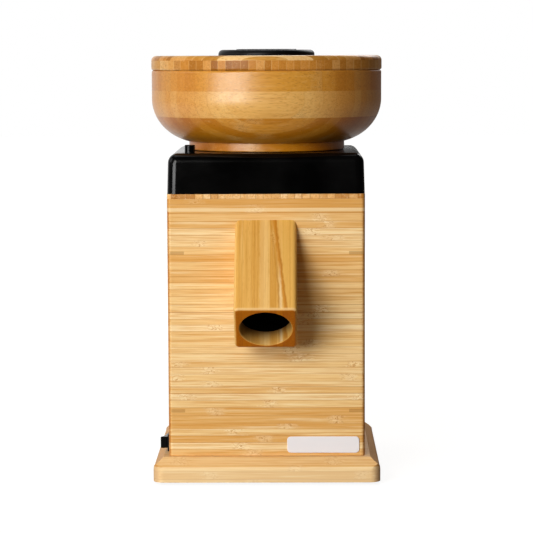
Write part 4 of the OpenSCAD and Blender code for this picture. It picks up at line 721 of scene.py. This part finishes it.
# in the spout's own frame: strips run along it, and places are counted from the middle of its foot
# a ribbon is: its place across, how far it leans, its width, where along it starts, its strength and colour
slope = math.radians(spout["slope"])
spoutRibbons = [(19.5, 0.0, 11.0, -60, 0.45, "#F2C46A"), (9.95, 0.097, 2.6, -60, 0.75, "#C47C1C"),
                (10.6, 0.1, 0.5, -60, 0.7, "#A8640E"), (6.2, 0.09, 0.6, -60, 0.5, "#B0701E"),
                (10.6, 0.033, 1.5, 28, 0.6, "#F6E2B4"),
                (9.0, 0.03, 0.4, 10, 0.6, "#A06C28"), (20.2, 0.0, 0.8, -60, 0.4, "#C08028"),
                (-9.3, 0.0, 0.6, -60, 0.4, "#C08028"), (-1.5, 0.0, 7.0, -60, 0.3, "#F4D090")]
spoutBamboo = bamboo("laminated_bamboo_spout", dict(
    bodyLook, along=2, across=0, strip=5.4, seed=8.3, tone=0.14, spread=0.62, streaks=0.4, fibres=0.4,
    colours=("#EEC67C", "#E4B05A", "#D0963E"), streak="#C88C34", end="#DDA602", endGrain=1.0, endFrom=0.68,
    glue=0.5, glueWidth=0.4, knuckles=700, bundles=0.3, ribbons=spoutRibbons,
    # the darkening inside the bore is painted shade
    # the pale top edge of the spout's end face is a painted highlight
    wearAndHighlight=[(spout["width"] / 2 - 2.5, 0.6, "#F2CE90")], boreShade=(spout["bore"] + 0.4, 57, 69, "#3C2410"),
    turn=(math.radians(-spoutTurn), 0, 0),
    shift=(0, -math.sin(slope) * (spout["axisHeight"] + body["half"]),
           math.cos(slope) * (spout["axisHeight"] - body["half"]))))
spoutFoot = (0, -body["half"], spout["axisHeight"])
frontBoard = addBoard("front_board", (-body["half"], -body["half"], body["low"]),
                      (body["half"], -inner, body["panelTop"]), -1)
hole = addRod("chute_hole", spout["chuteHole"], -spout["width"], spout["width"], sides=96)
turnAndMove(hole, spoutTurn, "X", spoutFoot)
combine(frontBoard, hole)
fit(frontBoard, frontBamboo, "bamboo", "root", "front_panel")

gland = dict(x=-48, z=47.7, bore=3.75, tube=7.25, inside=-20, collar=10.5, collarThick=2.5, tip=7.0,
             nut=10.97, nutFrom=-17, nutTo=-12, nutGap=0.1)
backBoard = addBoard("back_board", (-body["half"], inner, body["low"]),
                     (body["half"], body["half"], body["panelTop"]), 1)
hole = addRod("cord_hole", gland["tube"], -body["panel"] - 2, 2)
turnAndMove(hole, -90, "X", (gland["x"], body["half"], gland["z"]))
combine(backBoard, hole)
fit(backBoard, backBamboo, "bamboo", "root", "back_panel")

switch = dict(y=-59.5, z=32.2, frameL=21, frameH=15, frameOut=2, bodyL=19, bodyH=12.8, depth=18,
              wellL=18, wellH=10.6, wellDepth=9)
bodyHalfL, bodyHalfH = switch["bodyL"] / 2, switch["bodyH"] / 2
leftBoard = addBoard("left_board", (-body["half"], -inner, body["low"]), (-inner, inner, body["panelTop"]))
combine(leftBoard, addBox("switch_opening",
                          (-body["half"] - 1, switch["y"] - bodyHalfL, switch["z"] - bodyHalfH),
                          (-inner + 1, switch["y"] + bodyHalfL, switch["z"] + bodyHalfH)))
fit(leftBoard, sideBamboo, "bamboo", "root", "left_panel")
rightBoard = addBoard("right_board", (inner, -inner, body["low"]), (body["half"], inner, body["panelTop"]))
fit(rightBoard, sideBamboo, "bamboo", "root", "right_panel")

topBoard = addBox("top_board_plate", (-body["half"], -body["half"], body["panelTop"]),
                  (body["half"], body["half"], body["top"]))
roundEdges(topBoard, body["corner"], 6, lambda at, way: abs(way.z) > 0.9)
soften(topBoard, body["seam"], 2)
plugHalf = inner - body["plugGap"]
combine(topBoard, addBox("plug", (-plugHalf, -plugHalf, body["plugLow"]),
                         (plugHalf, plugHalf, body["panelTop"] + 1)), "UNION")
combine(topBoard, addRod("chamber_hole", body["chamberHole"], body["plugLow"] - 1, body["top"] + 1, sides=96))
fit(topBoard, boardBamboo, "bamboo", "root", "top_board")
print("body boards made")


# spout

half = spout["width"] / 2
spoutBlock = addBox("spout_body", (-half, -half, -spout["width"]), (half, half, spout["length"]))
roundEdges(spoutBlock, spout["edge"], 5, lambda at, way: abs(way.z) > 0.9)
roundEdges(spoutBlock, spout["endRound"], 5,
           lambda at, way: at.z > spout["length"] - 0.1 and abs(way.z) < 0.1)
bareFrom = spout["length"] - spout["bareWood"]
combine(spoutBlock, addTurned("bore", [
    (0, -2 * spout["width"]), (spout["blockHole"], -2 * spout["width"]), (spout["blockHole"], bareFrom),
    (spout["bore"], bareFrom), (spout["bore"], spout["length"] - 0.7),
    (spout["bore"] + spout["mouth"], spout["length"] + 0.5),
    (spout["bore"] + spout["mouth"], spout["length"] + 2), (0, spout["length"] + 2)], steps=96))
turnAndMove(spoutBlock, spoutTurn, "X", spoutFoot)
pickOnly(spoutBlock)
bpy.ops.object.mode_set(mode="EDIT")
bpy.ops.mesh.select_all(action="SELECT")
bpy.ops.mesh.bisect(plane_co=(0, -body["half"] * mm, 0), plane_no=(0, 1, 0), use_fill=True, clear_outer=True)
tidyMesh()
fit(spoutBlock, spoutBamboo, "bamboo", "root", "spout_block")
print("spout made")


# base and feet

base = dict(half=97, low=3, edgeTop=16.4, top=23.7, bevel=8.5, corner=9, opening=52, openingCorner=8,
            plateHalf=59.5, plateSeat=5, plateCorner=4.5, footAt=73, footRadius=9, footSeat=5, footHole=2,
            footCup=5, cupDepth=1, soft=0.9, shoulder=3.5, above=40)
plinth = addBox("base_block", (-base["half"], -base["half"], base["low"]),
                (base["half"], base["half"], base["edgeTop"]))
selectWhere(plinth, "FACE", lambda at, way: way.z > 0.9)
rise = (base["top"] - base["edgeTop"]) * mm
bpy.ops.mesh.extrude_region_move(TRANSFORM_OT_translate={"value": (0, 0, rise)})
narrower = 1 - base["bevel"] / base["half"]
bpy.ops.transform.resize(value=(narrower, narrower, 1), center_override=(0, 0, base["top"] * mm))
bpy.ops.object.mode_set(mode="OBJECT")
rounded = addBox("rounding", (-base["half"], -base["half"], 0), (base["half"], base["half"], base["above"]))
roundEdges(rounded, base["corner"], 8, lambda at, way: abs(way.z) > 0.9)
combine(plinth, rounded, "INTERSECT")
roundEdges(plinth, base["shoulder"], 6,
           lambda at, way: abs(at.z - base["edgeTop"]) < 0.1 and abs(way.z) < 0.1)
soften(plinth, base["soft"], 3, 28)
opening = addBox("opening", [-base["opening"]] * 2 + [0], [base["opening"]] * 2 + [base["above"]])
roundEdges(opening, base["openingCorner"], 6, lambda at, way: abs(way.z) > 0.9)
combine(plinth, opening)
recess = addBox("plate_recess", [-base["plateHalf"]] * 2 + [0], [base["plateHalf"]] * 2 + [base["plateSeat"]])
roundEdges(recess, base["plateCorner"], 5, lambda at, way: abs(way.z) > 0.9)
combine(plinth, recess)
for spot in corners(base["footAt"]):
    combine(plinth, addRod("foot_recess", base["footRadius"], 0, base["footSeat"], spot))
fit(plinth, baseBamboo, "bamboo", "root", "base_plinth")

foot = addTurned("foot_pads", [
    (base["footHole"], base["cupDepth"]), (base["footCup"], base["cupDepth"]), (base["footCup"], 0, 0.4),
    (base["footRadius"], 0, 1.0), (base["footRadius"], base["footSeat"]),
    (base["footHole"], base["footSeat"])], steps=64)
feet = copyTo(foot, [(x, y, 0) for x, y in corners(base["footAt"])])
fit(feet, footRubber, "rubber", "root", "rubber_feet")
print("base made")


# switch, cord inlet and bare plate

frameHalfL, frameHalfH = switch["frameL"] / 2, switch["frameH"] / 2
bezel = addBox("switch_frame",
               (-body["half"] - switch["frameOut"], switch["y"] - frameHalfL, switch["z"] - frameHalfH),
               (-body["half"], switch["y"] + frameHalfL, switch["z"] + frameHalfH))
roundEdges(bezel, 1.2, 4, lambda at, way: at.x < -body["half"] - switch["frameOut"] + 0.1 or abs(way.x) > 0.9)
combine(bezel, addBox("switch_body",
                      (-body["half"] - 0.5, switch["y"] - bodyHalfL, switch["z"] - bodyHalfH),
                      (-body["half"] + switch["depth"], switch["y"] + bodyHalfL, switch["z"] + bodyHalfH)),
        "UNION")
wellHalfL, wellHalfH = switch["wellL"] / 2, switch["wellH"] / 2
wellFloor = -body["half"] - switch["frameOut"] + switch["wellDepth"] + 2
combine(bezel, addBox("well", (-body["half"] - 5, switch["y"] - wellHalfL, switch["z"] - wellHalfH),
                      (wellFloor, switch["y"] + wellHalfL, switch["z"] + wellHalfH)))
fit(bezel, satinAbs, "abs_satin", "root", "switch_housing")

rocker = dict(halfL=8.3, reach=5.33, hollow=1.6, height=10, tilt=-15, pivotX=-85, flank=7.0, root=4.0,
              rootHalf=2.5)
face = []
for step in range(11):
    share = step / 5 - 1
    face.append((-rocker["reach"] + rocker["hollow"] * (1 - share * share), share * rocker["halfL"]))
rockerKey = addSlab("switch_key", [*face, (0, rocker["flank"]), (rocker["root"], rocker["rootHalf"]),
                                   (rocker["root"], -rocker["rootHalf"]), (0, -rocker["flank"])],
                    -rocker["height"] / 2, rocker["height"] / 2)
soften(rockerKey, 0.5, 3)
turnAndMove(rockerKey, rocker["tilt"], "Z", (rocker["pivotX"], switch["y"], switch["z"]))
fit(rockerKey, glossAbs, "abs_gloss", "rocker", "switch_rocker")

# a collar outside the board, three ribs that grow narrower towards the tip, and a nut inside
cordInlet = addTurned("cord_inlet", [
    (gland["bore"], gland["inside"], 0.3), (gland["tube"], gland["inside"], 0.4), (gland["tube"], 0),
    (gland["collar"], 0), (gland["collar"], gland["collarThick"], 1.0), (8.4, gland["collarThick"], 0.3),
    (7.9, 3.6, 0.3), (7.2, 3.7, 0.2), (7.3, 4.7, 0.3), (6.5, 4.8, 0.2), (6.6, 5.8, 0.3), (5.9, 5.9, 0.2),
    (5.75, gland["tip"], 0.5), (gland["bore"], gland["tip"], 0.4)], steps=64)
nut = addRod("nut", gland["nut"], gland["nutFrom"], gland["nutTo"], sides=6)
combine(nut, addRod("nut_hole", gland["tube"] - gland["nutGap"], gland["nutFrom"] - 1, gland["nutTo"] + 1))
combine(cordInlet, soften(nut, 0.3, 2), "UNION")
turnAndMove(cordInlet, -90, "X", (gland["x"], body["half"], gland["z"]))
fit(cordInlet, gritPolyamide, "polyamide", "root", "cord_gland")

badge = dict(left=17.4, right=79.05, low=26.36, high=40.5, thick=0.9, corner=3.2)
badgePlate = addBox("bare_plate", (badge["left"], -body["half"] - badge["thick"], badge["low"]),
                    (badge["right"], -body["half"], badge["high"]))
roundEdges(badgePlate, badge["corner"], 7, lambda at, way: abs(way.y) > 0.9)
soften(badgePlate, 0.3, 3)
fit(badgePlate, whitePlate, "alloy", "root")
print("switch, inlet and plate made")


# finishes of the CAD pieces that stay as they are

finishes = {
    zincPlate: ["hopper_ring_screws", "housing_screws", "chamber_screws", "stone_nut", "motor_through_bolts",
                "motor_mount_bolts", "capacitor_clip", "foot_screws"],
    groundSteel: ["stone_guide_pins", "stone_springs", "motor_shaft", "bearing_outer_races",
                  "bearing_inner_races", "bearing_balls"],
    castAlloy: ["milling_chamber", "upper_stone_carrier", "lower_stone_carrier", "motor_top_shield",
                "motor_bottom_shield", "rotor_core"],
    laminatedSteel: ["stator_core"],
    copperWire: ["stator_windings"],
    stoneFinish: ["upper_stone", "lower_stone"],
    feltFinish: ["chamber_seal", "shaft_seal"],
    glossAbs: ["flour_chute"],
    satinAbs: ["hopper_thread_ring", "cooling_fan", "thermal_cutout"],
    leadPvc: ["wiring_leads"],
    creamPolyamide: ["terminal_block"],
    drawnCan: ["run_capacitor"],
    brass: ["switch_terminals"],
    footRubber: ["motor_isolators"],
    powderCoat: ["bottom_plate"],
    innerBamboo: ["spout_dowels", "corner_battens"],
}
for material, names in finishes.items():
    for name in names:
        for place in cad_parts[name].material_slots:
            place.material = material
print("CAD pieces finished")


# floor, light and background

def seenDirectly(tree):
    # first 1 for what the camera, a mirror or a glass looks at, and 0 for light that falls on the object,
    # then 1 for what a mirror or a glass looks at alone
    path = addNode(tree, "LightPath")
    mirror = addNode(tree, "Math", {0: path["Is Glossy Ray"], 1: path["Is Transmission Ray"]},
                     operation="MAXIMUM")[0]
    return addNode(tree, "Math", {0: path["Is Camera Ray"], 1: mirror}, operation="MAXIMUM")[0], mirror


stage = dict(size=8.0, front=-0.34, floorColour="#808080", nearGlow=0.9, nearMirror=0.15, farGlow=1.0,
             near=0.3, far=0.9, skyLight=0.14, skyColour="#FFE0B4", darkSide=0.01, roomFrom=0.2, roomTo=0.9,
             darkRight=0.12, flagReach=0.4, flagEdge=0.03)
bpy.ops.object.select_all(action="DESELECT")
bpy.ops.mesh.primitive_plane_add(size=stage["size"], location=(0, stage["front"] + stage["size"] / 2, 0))
bpy.ops.object.transform_apply()
floor = bpy.context.object
floor.name = "floor"
paper, tree, surface, spot = startMaterial("matt_paper_floor", {"Roughness": 0.9, "Specular IOR Level": 0.0})
surface["Base Color"].default_value = linear(stage["floorColour"])
surface["Emission Color"].default_value = (1, 1, 1, 1)
seen, mirror = seenDirectly(tree)
away = addNode(tree, "VectorMath", {0: spot}, operation="LENGTH")["Value"]
nearGlow = addNode(tree, "Mix", {0: mirror, 2: stage["nearGlow"], 3: stage["nearMirror"]})[0]
toRight = addNode(tree, "SeparateXYZ", {0: spot})[0]
flag = addNode(tree, "MapRange", {0: toRight, 1: 0.0, 2: stage["flagReach"] / mm, 3: 1.0,
                                  4: stage["darkRight"]})[0]
farGlow = addNode(tree, "Mix", {0: mirror, 2: stage["farGlow"], 3: flag})[0]
glow = addNode(tree, "MapRange", {0: away, 1: stage["near"] / mm, 2: stage["far"] / mm, 3: nearGlow,
                                  4: farGlow})[0]
glow = addNode(tree, "Math", {0: seen, 1: glow}, operation="MULTIPLY")[0]
tree.links.new(glow, surface["Emission Strength"])
floor.data.materials.append(paper)

# a white backdrop behind the object
# mirrors also see the dark room in front of it and a dark flag on its right
world = bpy.data.worlds.new("studio")
bpy.context.scene.world = world
world.use_nodes = True
tree = world.node_tree
seen, mirror = seenDirectly(tree)
way = addNode(tree, "SeparateXYZ", {0: addNode(tree, "TexCoord")["Generated"]})
flag = addNode(tree, "MapRange", {0: way[0], 1: -stage["flagEdge"], 2: stage["flagEdge"], 3: 1.0,
                                  4: stage["darkRight"]})[0]
room = addNode(tree, "MapRange", {0: way[1], 1: stage["roomFrom"], 2: stage["roomTo"],
                                  3: stage["darkSide"], 4: flag})[0]
shown = addNode(tree, "Mix", {0: mirror, 2: 1.0, 3: room})[0]
strength = addNode(tree, "Mix", {0: seen, 2: stage["skyLight"], 3: shown})[0]
background = tree.nodes["Background"]
colour = addNode(tree, "Mix", {0: seen, 6: linear(stage["skyColour"]), 7: (1, 1, 1, 1)}, data_type="RGBA")[2]
tree.links.new(colour, background.inputs["Color"])
tree.links.new(strength, background.inputs["Strength"])

lamps = dict(
    key=dict(place=(-0.79, -1.75, 0.92), size=(0.9, 0.7), power=24.5, colour="#FFFDFA"),
    glint=dict(place=(-1.12, -1.62, 0.35), size=(1.15, 0.26), power=15, colour="#FFFFFF"),
    side=dict(place=(-1.75, -0.1, 0.95), size=(0.8, 1.0), power=5, colour="#FFFFFF"),
    top=dict(place=(-0.2, 0.3, 1.9), size=(1.2, 0.9), power=5, colour="#FFFFFF"),
    back=dict(place=(0.5, 1.65, 1.25), size=(1.2, 0.8), power=13, colour="#FFFFFF"))
lampAim = Vector((0, 0, 0.2))
for name, lamp in lamps.items():
    bpy.ops.object.light_add(type="AREA", location=lamp["place"])
    light = bpy.context.object
    light.name = name + "_light"
    light.data.shape = "RECTANGLE"
    light.data.size, light.data.size_y = lamp["size"]
    light.data.energy = lamp["power"]
    light.data.color = linear(lamp["colour"])[:3]
    light.rotation_euler = (lampAim - Vector(lamp["place"])).to_track_quat("-Z", "Y").to_euler()

bpy.context.scene.view_settings.view_transform = "Standard"
print("stage made")
